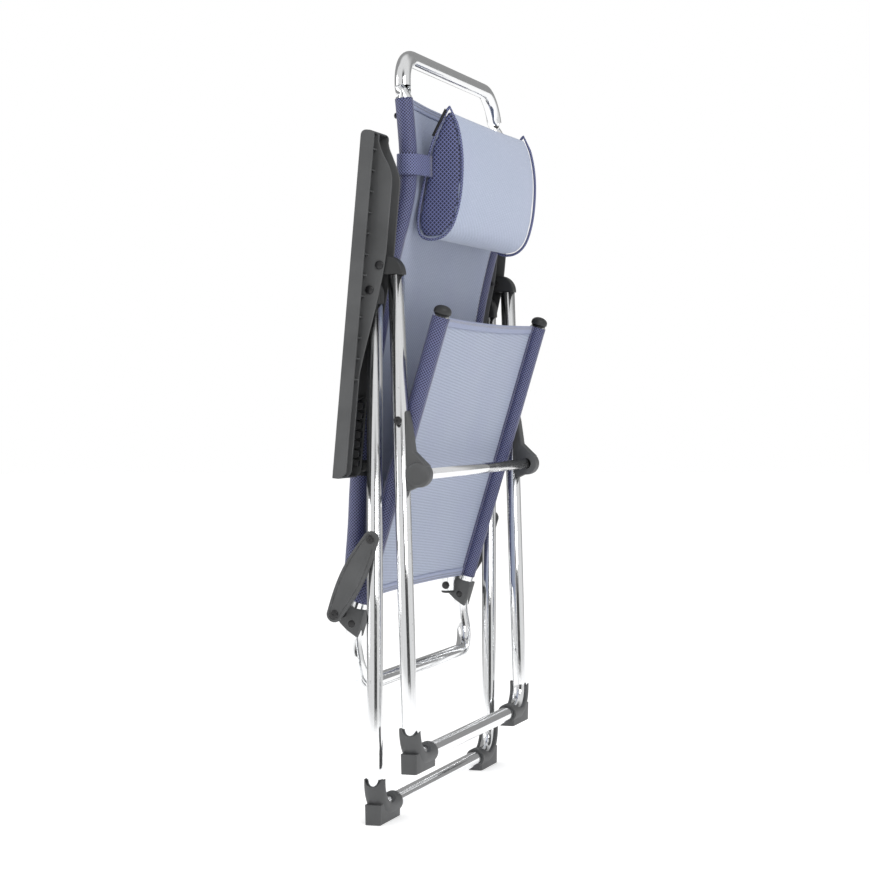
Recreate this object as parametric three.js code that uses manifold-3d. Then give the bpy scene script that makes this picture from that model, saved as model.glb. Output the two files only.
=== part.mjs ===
// A folding camp chair, folded flat and standing on its rear leg frame.
// Millimetres, +Z up. +X is the side the sitter faces, +Y the sitter's left.
// The origin is on the ground, under the middle of the folded chair.
// Every piece below is drawn for the sitter's right (-Y) and mirrored for the left.
import * as THREE from "three";
import { mergeVertices } from "three/addons/utils/BufferGeometryUtils.js";
import Module from "manifold-3d";

const wasm = await Module();
wasm.setup();

// ---------------------------------------------------------------- driving dimensions

const TUBE_RADIUS = 11;
const TUBE_WALL = 1.4;
const FIT = 0.4; // running clearance round pins and in sockets

// The sizes below count x from a line this far ahead of the origin, which is the folded chair's middle.
const MIDDLE_X = 9.46;

// Distance of each layer of tubes from the middle plane of the chair.
const LEG_Y = 271;
const RAIL_Y = 247;
const BACK_Y = 221.5;

// Pivots in side view [x, z], folded.
const SEAT_PIVOT = [9, 546.5]; // seat rail on front leg
const HINGE = [-80, 284.5]; // backrest and link on the seat's rear bracket
const FRONT_TOP = [-16, 755]; // front leg in the armrest
const REAR_TOP = [-30, 722]; // rear leg in the armrest
const LINK_TOP = [-28, 387]; // link on the rear leg

// Front leg frame: its legs lean back a little towards the top.
const FRONT_LEAN = 0.0316; // x lost for each mm of height
const FRONT_FOOT_X = 26; // x of the front legs' line at ground level
const FRONT_BASE_Z = 71; // underside of the front feet
const FRONT_LEG_TOP = 742;
const REAR_LEG_X = -28;
const REAR_LEG_TOP = 703;
const BAR_ABOVE_BASE = 19; // floor bar's centre above the underside of its feet
const LEG_BEND = 38;

// Seat rails and the loop that they make behind the hinge.
const RAIL_FRONT = [59.6, 690];
const RAIL_REAR = [-65, 271.3];
const LOOP_BEND = 42;

// Backrest tube, from its hinge end up to where the handle's bend starts.
const BACK_LINE = [
  [-80, 276], [-80, 284.5], [-78.5, 315], [-76, 350], [-72, 400], [-68.5, 466], [-61, 540], [-48, 620],
  [-31.8, 716], [-16, 786], [-6.5, 822], [1.5, 860], [3.2, 890], [2.8, 917], [-0.7, 960], [-4.2, 996],
];
const HANDLE_BEND = 50;

// Fabric
const SLEEVE_RADIUS = 12.2;
const FABRIC = 1.6;

// Armrest, as length u from its rear end and depth v from its top face.
const ARM_REAR = [-76.4, 469];
const ARM_ANGLE = THREE.MathUtils.degToRad(84.92);
const ARM_LENGTH = 468;
const ARM_OUTSIDE = -306;
const ARM_INSIDE = -243.5;
const ARM_SKIRT = 19;
const ARM_RIBS = 12;
const ARM_RIB_PITCH = 28.1;

const PIN_RADIUS = 4;

// ---------------------------------------------------------------- materials

const finish = (color, roughness, metalness) =>
  new THREE.MeshStandardMaterial({ color, roughness, metalness });
const ALUMINIUM = finish(0xc9ccce, 0.22, 1);
const PLASTIC = finish(0x4a4b4d, 0.62, 0);
const DARK_PLASTIC = finish(0x2c2d2f, 0.6, 0);
const STEEL = finish(0x8d8f92, 0.4, 1);
const BLACK_STEEL = finish(0x222326, 0.45, 0.6);
const MESH_FABRIC = finish(0x8b93a8, 0.85, 0);
const PILLOW_FABRIC = finish(0x7f8ca3, 0.9, 0);
const BAND = finish(0x2e3350, 0.85, 0);

// ---------------------------------------------------------------- solids

function toSolid(geometry) {
  const bare = (geometry.index ? geometry.toNonIndexed() : geometry.clone());
  bare.deleteAttribute("normal");
  bare.deleteAttribute("uv");
  const merged = mergeVertices(bare, 1e-4);
  return new wasm.Manifold(new wasm.Mesh({
    numProp: 3,
    vertProperties: merged.attributes.position.array,
    triVerts: new Uint32Array(merged.index.array),
  }));
}

function toGeometry(solid) {
  const mesh = solid.getMesh();
  const geometry = new THREE.BufferGeometry();
  geometry.setAttribute("position", new THREE.BufferAttribute(mesh.vertProperties, 3));
  geometry.setIndex(new THREE.BufferAttribute(mesh.triVerts, 1));
  return geometry;
}

const join = (...geometries) => toGeometry(geometries.map(toSolid).reduce((a, b) => a.add(b)));
const cut = (geometry, ...tools) =>
  toGeometry(tools.map(toSolid).reduce((a, b) => a.subtract(b), toSolid(geometry)));

// A curve that passes through its stations and nothing in between, so that a straight takes one step.
class StationCurve extends THREE.Curve {
  constructor(stations) {
    super();
    this.stations = stations;
  }
  index(u) {
    return Math.round(u * (this.stations.length - 1));
  }
  getPoint(u, target = new THREE.Vector3()) {
    return target.copy(this.stations[this.index(u)]);
  }
  getPointAt(u, target) {
    return this.getPoint(u, target);
  }
  getTangentAt(u, target = new THREE.Vector3()) {
    const i = this.index(u);
    const last = this.stations.length - 1;
    const before = this.stations[Math.max(0, i - 1)];
    const here = this.stations[i];
    const after = this.stations[Math.min(last, i + 1)];
    const arriving = here.clone().sub(before).normalize();
    const leaving = after.clone().sub(here).normalize();
    return target.copy(arriving).add(leaving).normalize();
  }
}

function circle(radius, sides, x = 0, y = 0) {
  const points = [];
  for (let i = 0; i < sides; i++) {
    const a = (2 * Math.PI * (i + 0.5)) / sides;
    points.push(new THREE.Vector2(x + radius * Math.cos(a), y + radius * Math.sin(a)));
  }
  return points;
}

function sweep(shape, stations) {
  const extrudePath = new StationCurve(stations);
  return new THREE.ExtrudeGeometry(shape, { steps: stations.length - 1, extrudePath, bevelEnabled: false });
}

function pipe(stations, radius, wall, sides = 12) {
  const shape = new THREE.Shape(circle(radius, sides));
  if (wall) shape.holes.push(new THREE.Path(circle(radius - wall, 8)));
  return sweep(shape, stations);
}

// A plate whose outline is drawn in side view [x, z], from y0 to y1.
function plate(outline, y0, y1, bevel = 0) {
  const shape = new THREE.Shape(outline.map(([x, z]) => new THREE.Vector2(x, z)));
  const geometry = new THREE.ExtrudeGeometry(shape, {
    depth: y1 - y0 - 2 * bevel,
    bevelEnabled: bevel > 0,
    bevelSize: bevel,
    bevelThickness: bevel,
    bevelOffset: -bevel,
    bevelSegments: 2,
  });
  return geometry.rotateX(Math.PI / 2).translate(0, y1 - bevel, 0);
}

// A round bar along Y.
function bar([x, z], radius, y0, y1, sides = 16) {
  return new THREE.CylinderGeometry(radius, radius, y1 - y0, sides).translate(x, (y0 + y1) / 2, z);
}

// A turned piece along Y: rows of [y, radius], from one end to the other.
function turned([x, z], rows, sides = 16) {
  const profile = [[rows[0][0], 0], ...rows, [rows[rows.length - 1][0], 0]];
  const points = profile.map(([y, r]) => new THREE.Vector2(r, y));
  return new THREE.LatheGeometry(points, sides).translate(x, 0, z);
}

const box = (x0, x1, y0, y1, z0, z1) =>
  new THREE.BoxGeometry(x1 - x0, y1 - y0, z1 - z0).translate((x0 + x1) / 2, (y0 + y1) / 2, (z0 + z1) / 2);

function arc([x, z], radius, from, to, steps) {
  const points = [];
  for (let i = 0; i <= steps; i++) {
    const a = THREE.MathUtils.degToRad(from + ((to - from) * i) / steps);
    points.push([x + radius * Math.cos(a), z + radius * Math.sin(a)]);
  }
  return points;
}

// Stations of a U frame: up or down one side, round a bend, across, round the other bend and back.
function uFrame(side, halfWidth, bend, steps = 5) {
  const [x1, z1] = side[side.length - 1];
  const [x0, z0] = side[side.length - 2];
  const run = new THREE.Vector2(x1 - x0, z1 - z0).normalize();
  const half = side.map(([x, z]) => new THREE.Vector3(x, -halfWidth, z));
  for (let i = 1; i <= steps; i++) {
    const a = (Math.PI / 2) * (i / steps);
    const along = bend * Math.sin(a);
    const inwards = bend * (1 - Math.cos(a));
    half.push(new THREE.Vector3(x1 + run.x * along, -halfWidth + inwards, z1 + run.y * along));
  }
  return [...half, ...half.map((p) => new THREE.Vector3(p.x, -p.y, p.z)).reverse()];
}

// The first stations of a U frame, on the right side, as far as a given distance from the middle plane.
const rightCorner = (stations, from, inward) => {
  const corner = stations.filter((p) => p.y < 0).slice(from);
  const last = corner[corner.length - 1];
  return [...corner, new THREE.Vector3(last.x, -inward, last.z)];
};

// ---------------------------------------------------------------- scene graph

const part = new THREE.Group();
const chair = new THREE.Group();
chair.position.x = MIDDLE_X;
part.add(chair);

function add(name, geometry, material) {
  const mesh = new THREE.Mesh(geometry, material);
  mesh.name = name;
  chair.add(mesh);
}

// A piece that is on both sides: the left one is the right one in a mirror.
const leftSide = new THREE.Group();
leftSide.scale.y = -1;
chair.add(leftSide);
function addPair(name, geometry, material) {
  add(name + "_right", geometry, material);
  const left = new THREE.Mesh(geometry, material);
  left.name = name + "_left";
  leftSide.add(left);
}

function cutBothSides(geometry, tool) {
  const right = toSolid(tool);
  const left = right.mirror([0, 1, 0]);
  return toGeometry(toSolid(geometry).subtract(right).subtract(left));
}

// ---------------------------------------------------------------- leg frames

const frontLegX = (z) => FRONT_FOOT_X - FRONT_LEAN * z;
const frontBarZ = FRONT_BASE_Z + BAR_ABOVE_BASE;

const frontStations = uFrame(
  [FRONT_LEG_TOP, frontBarZ + LEG_BEND].map((z) => [frontLegX(z), z]), LEG_Y, LEG_BEND);
const rearStations = uFrame(
  [REAR_LEG_TOP, BAR_ABOVE_BASE + LEG_BEND].map((z) => [REAR_LEG_X, z]), LEG_Y, LEG_BEND);

const BOLT_RADIUS = 3;
const boltHole = bar(SEAT_PIVOT, BOLT_RADIUS + FIT, -LEG_Y - 20, -RAIL_Y + 20, 10);

add("front_leg_tube", cutBothSides(pipe(frontStations, TUBE_RADIUS, TUBE_WALL), boltHole), ALUMINIUM);
add("rear_leg_tube", pipe(rearStations, TUBE_RADIUS, TUBE_WALL), ALUMINIUM);

// A corner shell over the bend, on a flat base. It is open on the inside of the bend.
const FOOT_RADIUS = 14.6;
const FOOT_RISE = 61; // top of the shell above its base
const FOOT_REACH = 76; // along the floor bar from the leg's centre line
const FOOT_BASE_HALF = 11;
const MOUTH_RADIUS = LEG_BEND - 5; // the shell's opening, round the centre of the bend
function foot(stations, legX, baseZ) {
  const legTop = new THREE.Vector3(legX(baseZ + FOOT_RISE), -LEG_Y, baseZ + FOOT_RISE);
  const corner = [legTop, ...rightCorner(stations, 1, LEG_Y - FOOT_REACH)];
  const barX = corner[corner.length - 1].x;
  const barZ = baseZ + BAR_ABOVE_BASE;
  const shell = pipe(corner, FOOT_RADIUS, 0, 12);
  const outer = -LEG_Y - 10;
  const inner = -LEG_Y + FOOT_REACH;
  const base = box(barX - FOOT_BASE_HALF, barX + FOOT_BASE_HALF, outer, inner, baseZ, barZ);
  const start = new THREE.Vector3(legX(baseZ + FOOT_RISE + 5), -LEG_Y, baseZ + FOOT_RISE + 5);
  const bore = pipe([start, ...corner.slice(0, -1), corner[corner.length - 1].clone().setY(inner + 5)],
    TUBE_RADIUS + FIT, 0, 12);
  const mouth = new THREE.CylinderGeometry(MOUTH_RADIUS, MOUTH_RADIUS, 2 * FOOT_RADIUS + 2, 18)
    .rotateZ(Math.PI / 2)
    .translate(barX, -LEG_Y + LEG_BEND, barZ + LEG_BEND);
  const notch = new THREE.CylinderGeometry(TUBE_RADIUS + 0.5, TUBE_RADIUS + 0.5, 24, 12)
    .translate(legTop.x, -LEG_Y - 12, baseZ + FOOT_RISE);
  const trimmed = box(barX - 40, barX + 40, outer - 30, inner + 30, baseZ - 30, baseZ);
  return cut(join(shell, base), bore, mouth, notch, trimmed);
}
addPair("front_foot", foot(frontStations, frontLegX, FRONT_BASE_Z), PLASTIC);
addPair("rear_foot", foot(rearStations, () => REAR_LEG_X, 0), PLASTIC);

// Knuckles: a plug in the top of the leg and a round-nosed tongue that turns on a pin in the armrest.
const TONGUE_Y0 = -LEG_Y - 10;
const TONGUE_Y1 = -LEG_Y + 10;
const PLUG_RADIUS = TUBE_RADIUS - TUBE_WALL - 2 * FIT;
function knuckle(outline, pivot, legX, legTop) {
  const plugLine = [legTop + 1, legTop - 24].map((z) => new THREE.Vector3(legX(z), -LEG_Y, z));
  const plug = pipe(plugLine, PLUG_RADIUS - FIT, 0, 12);
  const pinHole = bar(pivot, PIN_RADIUS + FIT, TONGUE_Y0 - 1, TONGUE_Y1 + 1);
  return cut(join(plate(outline, TONGUE_Y0, TONGUE_Y1, 1), plug), pinHole);
}
const frontTopX = frontLegX(FRONT_LEG_TOP);
const shoulder = FRONT_LEG_TOP + FIT;
addPair("front_knuckle", knuckle([
  [frontTopX - 11, shoulder],
  [frontTopX + 11.5, shoulder],
  ...arc([frontTopX - 12.5, shoulder + 2], 24, 0, 90, 6),
  ...arc(FRONT_TOP, 12.5, 90, 250, 6),
], FRONT_TOP, frontLegX, FRONT_LEG_TOP), DARK_PLASTIC);
addPair("rear_knuckle", knuckle([
  [REAR_LEG_X - 11, REAR_LEG_TOP + FIT],
  [REAR_LEG_X + 11, REAR_LEG_TOP + FIT],
  [REAR_LEG_X + 11, REAR_TOP[1] - 3],
  ...arc(REAR_TOP, 11.5, 15, 180, 6),
  [REAR_LEG_X - 12, REAR_TOP[1] - 8],
], REAR_TOP, () => REAR_LEG_X, REAR_LEG_TOP), DARK_PLASTIC);

// The bolt on which the seat turns, through the leg and the rail beside it.
addPair("seat_pivot_bolt", turned(SEAT_PIVOT, [
  [-LEG_Y - TUBE_RADIUS - 3.6, 3.4],
  [-LEG_Y - TUBE_RADIUS - 2.6, 5.6],
  [-LEG_Y - TUBE_RADIUS - FIT, 5.8],
  [-LEG_Y - TUBE_RADIUS - FIT, BOLT_RADIUS],
  [-RAIL_Y + TUBE_RADIUS + 0.6, BOLT_RADIUS],
]), BLACK_STEEL);

// Stretcher between the front legs, held by a bracket with a saddle on each leg.
const STRETCHER = [35, 474];
const STRETCHER_RADIUS = 7.8;
const KNOB_RADIUS = 17.5;
const BAR_END = 268;
add("stretcher_bar", pipe([-BAR_END, BAR_END].map((y) => new THREE.Vector3(STRETCHER[0], y, STRETCHER[1])),
  STRETCHER_RADIUS, 1.2), ALUMINIUM);
const saddleStations = [600, 430].map((z) => new THREE.Vector3(frontLegX(z), -LEG_Y, z));
const bracketArm = plate([
  [frontLegX(558) + 4, 558], [frontLegX(440) - 2, 462], [frontLegX(440) + 10, 452],
  [STRETCHER[0], 458], [STRETCHER[0] + 14, 486], [frontLegX(505) + 19, 505],
  [frontLegX(540) + 15, 540], [frontLegX(558) + 11, 560],
], -LEG_Y - 7, -LEG_Y + 10.5, 1);
const knob = turned(STRETCHER, [
  [-LEG_Y - 9, KNOB_RADIUS - 2], [-LEG_Y - 7, KNOB_RADIUS],
  [-LEG_Y + 9.5, KNOB_RADIUS], [-LEG_Y + 11, KNOB_RADIUS - 1.5],
], 16);
addPair("stretcher_bracket", cut(join(bracketArm, knob),
  pipe(saddleStations, TUBE_RADIUS + FIT, 0, 16),
  bar(STRETCHER, STRETCHER_RADIUS + FIT, -BAR_END - FIT, -LEG_Y + 20)), PLASTIC);

// ---------------------------------------------------------------- seat

const railRun = new THREE.Vector2(RAIL_FRONT[0] - RAIL_REAR[0], RAIL_FRONT[1] - RAIL_REAR[1]).normalize();
const railPoint = (along, across = 0) => [
  RAIL_REAR[0] + railRun.x * along + railRun.y * across,
  RAIL_REAR[1] + railRun.y * along - railRun.x * across,
];
const RAIL_LENGTH = Math.hypot(RAIL_FRONT[0] - RAIL_REAR[0], RAIL_FRONT[1] - RAIL_REAR[1]);
const LOOP_LINE = [RAIL_FRONT, RAIL_REAR, [-66.5, 262], [-67, 250], [-66, 236], [-64, 224]];
const hingeHole = bar(HINGE, PIN_RADIUS + FIT, -300, -200);
const RIVET = railPoint(-2);
const rivetHole = bar(RIVET, 2.6, -RAIL_Y - 20, -RAIL_Y + 20, 10);

const loopStations = uFrame(LOOP_LINE, RAIL_Y, LOOP_BEND);
const seatFrame = pipe(loopStations, TUBE_RADIUS, TUBE_WALL);
add("seat_tube", cutBothSides(cutBothSides(seatFrame, boltHole), rivetHole), ALUMINIUM);

// Rounded caps plugged into the front ends of the rails.
const capLine = (along) => {
  const [x, z] = railPoint(RAIL_LENGTH + along);
  return new THREE.Vector3(x, -RAIL_Y, z);
};
const capTurn = new THREE.Matrix4().makeRotationY(Math.atan2(railRun.x, railRun.y));
const capEnd = capLine(0);
const capProfile = [
  [0, -20], [PLUG_RADIUS - FIT, -20], [PLUG_RADIUS - FIT, FIT],
  [12.2, FIT], [12.2, 5], [10, 9], [5.5, 11.5], [0, 12.2],
];
addPair("seat_rail_cap", new THREE.LatheGeometry(capProfile.map(([r, z]) => new THREE.Vector2(r, z)), 16)
  .rotateX(Math.PI / 2).applyMatrix4(capTurn).translate(capEnd.x, capEnd.y, capEnd.z), DARK_PLASTIC);

// Fan-shaped hinge housings clasp the rails, with a rivet through both. Their outer cheek just
// clears the legs, and their inner cheek, the plate, carries the hinge pin.
const HOUSING_Y = -RAIL_Y - TUBE_RADIUS - 1.7;
const PLATE_Y0 = -RAIL_Y + TUBE_RADIUS + 0.3;
const PLATE_Y1 = PLATE_Y0 + 2.6;
const SPACER_RADIUS = 6.6;
const fan = [
  [20, 12.5], [20, -12], [15, -25], [8, -30.4], [1, -25.5],
  [-6.5, -16], [-12.5, -4.5], [-16.5, 8], [-17.5, 12.5],
].map(([along, across]) => railPoint(along, across));
// The rivet's heads are sunk, so that the legs and the back tube can swing past them.
const OUTER_HEAD_Y = HOUSING_Y + 0.6;
const INNER_HEAD_Y = PLATE_Y1 - 1.1;
addPair("hinge_plate", cut(plate(fan, HOUSING_Y, PLATE_Y1),
  pipe(loopStations, TUBE_RADIUS + 0.35, 0),
  bar(HINGE, SPACER_RADIUS + FIT, HOUSING_Y - 5, PLATE_Y0), hingeHole,
  rivetHole, bar(RIVET, 5, HOUSING_Y - 5, OUTER_HEAD_Y + 0.3),
  bar(RIVET, 5, INNER_HEAD_Y - 0.3, PLATE_Y1 + 5)), PLASTIC);
addPair("hinge_plate_rivet", turned(RIVET, [
  [HOUSING_Y, 3.4], [HOUSING_Y + 0.2, 4.4], [OUTER_HEAD_Y, 4.6], [OUTER_HEAD_Y, 2.2],
  [INNER_HEAD_Y, 2.2], [INNER_HEAD_Y, 4.6], [PLATE_Y1 - 0.3, 4.4], [PLATE_Y1, 3.4],
], 12), STEEL);

// A sling in section: a sleeve round each tube, with the panel stretched between them.
// The section's first axis runs across the chair, its second towards +X for a path that goes up.
function slingSection(halfWidth, lift) {
  const panelAngle = Math.asin(lift / SLEEVE_RADIUS);
  const halfOpening = Math.asin(FABRIC / 2 / SLEEVE_RADIUS);
  const sides = 12;
  const sleeve = [];
  for (let i = 0; i <= sides; i++) {
    const a = panelAngle + halfOpening + (2 * (Math.PI - halfOpening) * i) / sides;
    sleeve.push(new THREE.Vector2(SLEEVE_RADIUS * Math.cos(a) - halfWidth, SLEEVE_RADIUS * Math.sin(a)));
  }
  const otherSleeve = sleeve.map((p) => new THREE.Vector2(-p.x, p.y)).reverse();
  const shape = new THREE.Shape([...sleeve, ...otherSleeve]);
  for (const y of [-halfWidth, halfWidth]) {
    shape.holes.push(new THREE.Path(circle(TUBE_RADIUS + FIT, 12, y)));
  }
  return shape;
}

const onMiddle = ([x, z]) => new THREE.Vector3(x, 0, z);

const SEAT_SLING_REAR = 28; // from the rear end of the rails
const seatSlingLine = [railPoint(SEAT_SLING_REAR), railPoint(RAIL_LENGTH - 4)].map(onMiddle);
const sleeveBoltHole = bar(SEAT_PIVOT, BOLT_RADIUS + 1.2, -RAIL_Y - 16, -RAIL_Y + 16, 10);
add("seat_sling", cutBothSides(sweep(slingSection(RAIL_Y, -5), seatSlingLine), sleeveBoltHole), MESH_FABRIC);

// ---------------------------------------------------------------- backrest

const backSpline = new THREE.SplineCurve(BACK_LINE.map(([x, z]) => new THREE.Vector2(x, z)));
const BACK_STEPS = 12;
const backLine = backSpline.getSpacedPoints(BACK_STEPS).map((p) => [p.x, p.y]);
const backX = (z) => {
  const i = Math.max(1, backLine.findIndex((p) => p[1] >= z));
  const [[x0, z0], [x1, z1]] = [backLine[i - 1], backLine[i]];
  return x0 + ((x1 - x0) * (z - z0)) / (z1 - z0);
};
const backStations = uFrame(backLine, BACK_Y, HANDLE_BEND);
add("back_tube", cutBothSides(pipe(backStations, TUBE_RADIUS, TUBE_WALL), hingeHole), ALUMINIUM);

const BACK_SLING = [330, 985];
const slingLine = backLine.filter(([, z]) => z > BACK_SLING[0] + 8 && z < BACK_SLING[1] - 8);
const slingEnds = BACK_SLING.map((z) => [backX(z), z]);
add("back_sling", sweep(slingSection(BACK_Y, 5),
  [slingEnds[0], ...slingLine, slingEnds[1]].map(onMiddle)), MESH_FABRIC);

// Plastic plugs in the hinge ends of the backrest tube.
addPair("back_tube_plug", turned([0, 0], [
  [-3.6, PLUG_RADIUS - 1.4], [-2.8, PLUG_RADIUS - 0.5], [0.2, PLUG_RADIUS - 0.5],
  [0.2, 10.6], [2.6, 10.2], [3.4, 8],
], 14).rotateX(-Math.PI / 2).translate(BACK_LINE[0][0], -BACK_Y, BACK_LINE[0][1] - 0.6), DARK_PLASTIC);

// Small screws that hold the top of the sleeve, on the rear of the tube.
const SLEEVE_SCREW_Z = 962;
addPair("sleeve_screw", turned([0, 0], [[0, 2], [0.3, 4.2], [2, 3.6], [3, 1.8]], 10)
  .rotateZ(Math.PI / 2)
  .translate(backX(SLEEVE_SCREW_Z) - SLEEVE_RADIUS - 0.5, -BACK_Y, SLEEVE_SCREW_Z), BLACK_STEEL);

// ---------------------------------------------------------------- armrests

const armPoint = (u, v) => [
  ARM_REAR[0] + u * Math.cos(ARM_ANGLE) + v * Math.sin(ARM_ANGLE),
  ARM_REAR[1] + u * Math.sin(ARM_ANGLE) - v * Math.cos(ARM_ANGLE),
];
const armOutline = (rows) => rows.map(([u, v]) => armPoint(u, v));
const armPlate = (rows, y0, y1, bevel = 0) => plate(armOutline(rows), y0, y1, bevel);
const armBlock = (u0, u1, v0, v1, y0, y1) => armPlate([[u0, v0], [u1, v0], [u1, v1], [u0, v1]], y0, y1);

const SKIN = 3;
const OUTER_WALL = [-285.6, -282.9]; // the walls on either side of the legs' tongues
const INNER_WALL = [-246.2, ARM_INSIDE];
const skirt = [
  [3, 0], [ARM_LENGTH - 10, 0], [ARM_LENGTH - 2, 3], [ARM_LENGTH, 10], [ARM_LENGTH - 2, ARM_SKIRT - 3],
  [ARM_LENGTH - 6, ARM_SKIRT - 1], [12, ARM_SKIRT], [5, ARM_SKIRT - 3], [0, ARM_SKIRT - 9], [0, 4],
];
const deepWall = (most) => [
  [4, 2], [ARM_LENGTH - 4, 2], [ARM_LENGTH - 4, 17], [ARM_LENGTH - 18, 21], [ARM_LENGTH - 30, 27],
  [ARM_LENGTH - 45, most - 6], [ARM_LENGTH - 57, most - 1.5], [ARM_LENGTH - 70, most],
  [352, most], [297, most - 0.5], [256, most - 5], [220, 32], [180, 25], [140, 19],
  [108, 17], [60, 17], [8, ARM_SKIRT - 2],
];
const pocketA = armBlock(SKIN, ARM_LENGTH - SKIN, SKIN, 60, ARM_OUTSIDE + SKIN, OUTER_WALL[0]);
const pocketB = armBlock(SKIN, ARM_LENGTH - SKIN, SKIN, 60, OUTER_WALL[1], INNER_WALL[0]);
const ribs = [];
for (let i = 0; i < ARM_RIBS; i++) {
  const u = ARM_LENGTH - 24.5 - ARM_RIB_PITCH * i;
  ribs.push(armBlock(u - 0.9, u + 0.9, SKIN - 0.6, ARM_SKIRT - 2,
    ARM_OUTSIDE + SKIN - 0.6, OUTER_WALL[0] + 0.6));
}
const pivotHoles = [FRONT_TOP, REAR_TOP].map((pivot) => bar(pivot, PIN_RADIUS + FIT, ARM_OUTSIDE + 5, -200));
const shell = cut(armPlate(skirt, ARM_OUTSIDE, ARM_INSIDE, 2.4), pocketA, pocketB);
const walls = [armPlate(deepWall(42.5), ...OUTER_WALL), armPlate(deepWall(40.5), ...INNER_WALL)];
addPair("armrest", cut(join(shell, ...walls, ...ribs), ...pivotHoles), PLASTIC);

// The rack: notches on the inner wall, which the backrest's pins drop into.
const RACK_START = 16;
const RACK_PITCH = 13;
const RACK_NOTCHES = 7;
const rackTeeth = [];
for (let i = 0; i < RACK_NOTCHES; i++) {
  const u = RACK_START + RACK_PITCH * i;
  rackTeeth.push([u, 17], [u + 8, 17], [u + 10, 8]);
}
const RACK_END = RACK_START + RACK_PITCH * RACK_NOTCHES + 4;
const rackOutline = [[RACK_START, SKIN + 0.4], ...rackTeeth, [RACK_END, 17], [RACK_END, SKIN + 0.4]];
addPair("recline_rack", armPlate(rackOutline, INNER_WALL[0] - 8.3, INNER_WALL[0] - 0.3), DARK_PLASTIC);

// Pins on which the legs turn inside the armrest.
const armPin = (pivot) => turned(pivot, [
  [OUTER_WALL[0] - 2.4, 4.6], [OUTER_WALL[0] - 1.8, 5.8],
  [OUTER_WALL[0] - 0.3, 5.8], [OUTER_WALL[0] - 0.3, PIN_RADIUS],
  [INNER_WALL[1] + 1.2, PIN_RADIUS], [INNER_WALL[1] + 2.2, PIN_RADIUS - 1],
]);
addPair("front_leg_pin", armPin(FRONT_TOP), STEEL);
addPair("rear_leg_pin", armPin(REAR_TOP), STEEL);

// Collars clamped on the backrest tube, each with the pin that rides in the rack.
const COLLAR_Z = 482;
const PIN_OFFSET = 12; // pin ahead of the tube's centre
const collarX = backX(COLLAR_Z);
const collarSlope = (backX(COLLAR_Z + 10) - backX(COLLAR_Z - 10)) / 20;
const alongCollar = (reach) =>
  [-reach, reach].map((dz) => new THREE.Vector3(collarX + collarSlope * dz, -BACK_Y, COLLAR_Z + dz));
addPair("recline_collar", cut(
  join(pipe(alongCollar(11), SLEEVE_RADIUS + 3, 0, 16),
    bar([collarX + PIN_OFFSET, COLLAR_Z], 6, -BACK_Y - 19, -BACK_Y - 4, 12)),
  pipe(alongCollar(14), SLEEVE_RADIUS + 0.6, 0, 16),
  box(collarX - 30, collarX + 30, -BACK_Y + 9, -BACK_Y + 30, COLLAR_Z - 20, COLLAR_Z + 20)), DARK_PLASTIC);

// ---------------------------------------------------------------- hinge and links

const LINK_INNER = -LEG_Y - TUBE_RADIUS - 1.5;
const LINK_THICKNESS = 6;
const LINK_OUTER = LINK_INNER - LINK_THICKNESS;
const BACK_INNER = -BACK_Y + TUBE_RADIUS;
addPair("hinge_pin", turned(HINGE, [
  [LINK_OUTER - 2.6, 4], [LINK_OUTER - 2, 6], [LINK_OUTER - 0.3, 6], [LINK_OUTER - 0.3, PIN_RADIUS],
  [BACK_INNER + 0.3, PIN_RADIUS], [BACK_INNER + 0.3, 6], [BACK_INNER + 2, 6], [BACK_INNER + 2.6, 4],
]), BLACK_STEEL);
addPair("hinge_spacer", cut(bar(HINGE, SPACER_RADIUS, LINK_INNER + 0.3, PLATE_Y0 - 0.3, 14),
  bar(HINGE, PIN_RADIUS + FIT, LINK_INNER - 1, PLATE_Y0 + 1)), DARK_PLASTIC);

// A leaf-shaped link on the outer side, with a raised rim. It reaches from the hinge to the rear leg.
const linkRun = new THREE.Vector2(LINK_TOP[0] - HINGE[0], LINK_TOP[1] - HINGE[1]);
const linkLength = linkRun.length();
linkRun.normalize();
const linkPoint = (along, across) => [
  HINGE[0] + linkRun.x * along - linkRun.y * across,
  HINGE[1] + linkRun.y * along + linkRun.x * across,
];
function leaf(inset) {
  const end = 11 - inset;
  const belly = 17.5 - inset;
  const steps = 6;
  const edge = (side) => {
    const rows = [];
    for (let i = 1; i < steps; i++) {
      const t = i / steps;
      const across = end + (belly - end) * Math.sin(Math.PI * t);
      rows.push(linkPoint(linkLength * (side > 0 ? 1 - t : t), side * across));
    }
    return rows;
  };
  const cap = (centre, from) => {
    const rows = [];
    for (let i = 0; i <= 4; i++) {
      const a = from + (Math.PI * i) / 4;
      rows.push(linkPoint(centre + end * Math.cos(a), end * Math.sin(a)));
    }
    return rows;
  };
  return [...cap(linkLength, -Math.PI / 2), ...edge(1), ...cap(0, Math.PI / 2), ...edge(-1)];
}
addPair("link", cut(plate(leaf(0), LINK_OUTER, LINK_INNER, 0.8),
  plate(leaf(3.2), LINK_OUTER - 5, LINK_OUTER + 1.2),
  bar(HINGE, PIN_RADIUS + FIT, LINK_OUTER - 5, LINK_INNER + 5),
  bar(LINK_TOP, 3.4, LINK_OUTER - 5, LINK_INNER + 5, 12)), PLASTIC);
addPair("link_screw", turned(LINK_TOP, [
  [LINK_OUTER - 1.6, 3.4], [LINK_OUTER - 0.8, 5.6], [LINK_OUTER + 0.9, 5.8], [LINK_OUTER + 0.9, 3],
  [LINK_INNER + 0.8, 3],
], 12), BLACK_STEEL);

// ---------------------------------------------------------------- pillow

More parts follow.
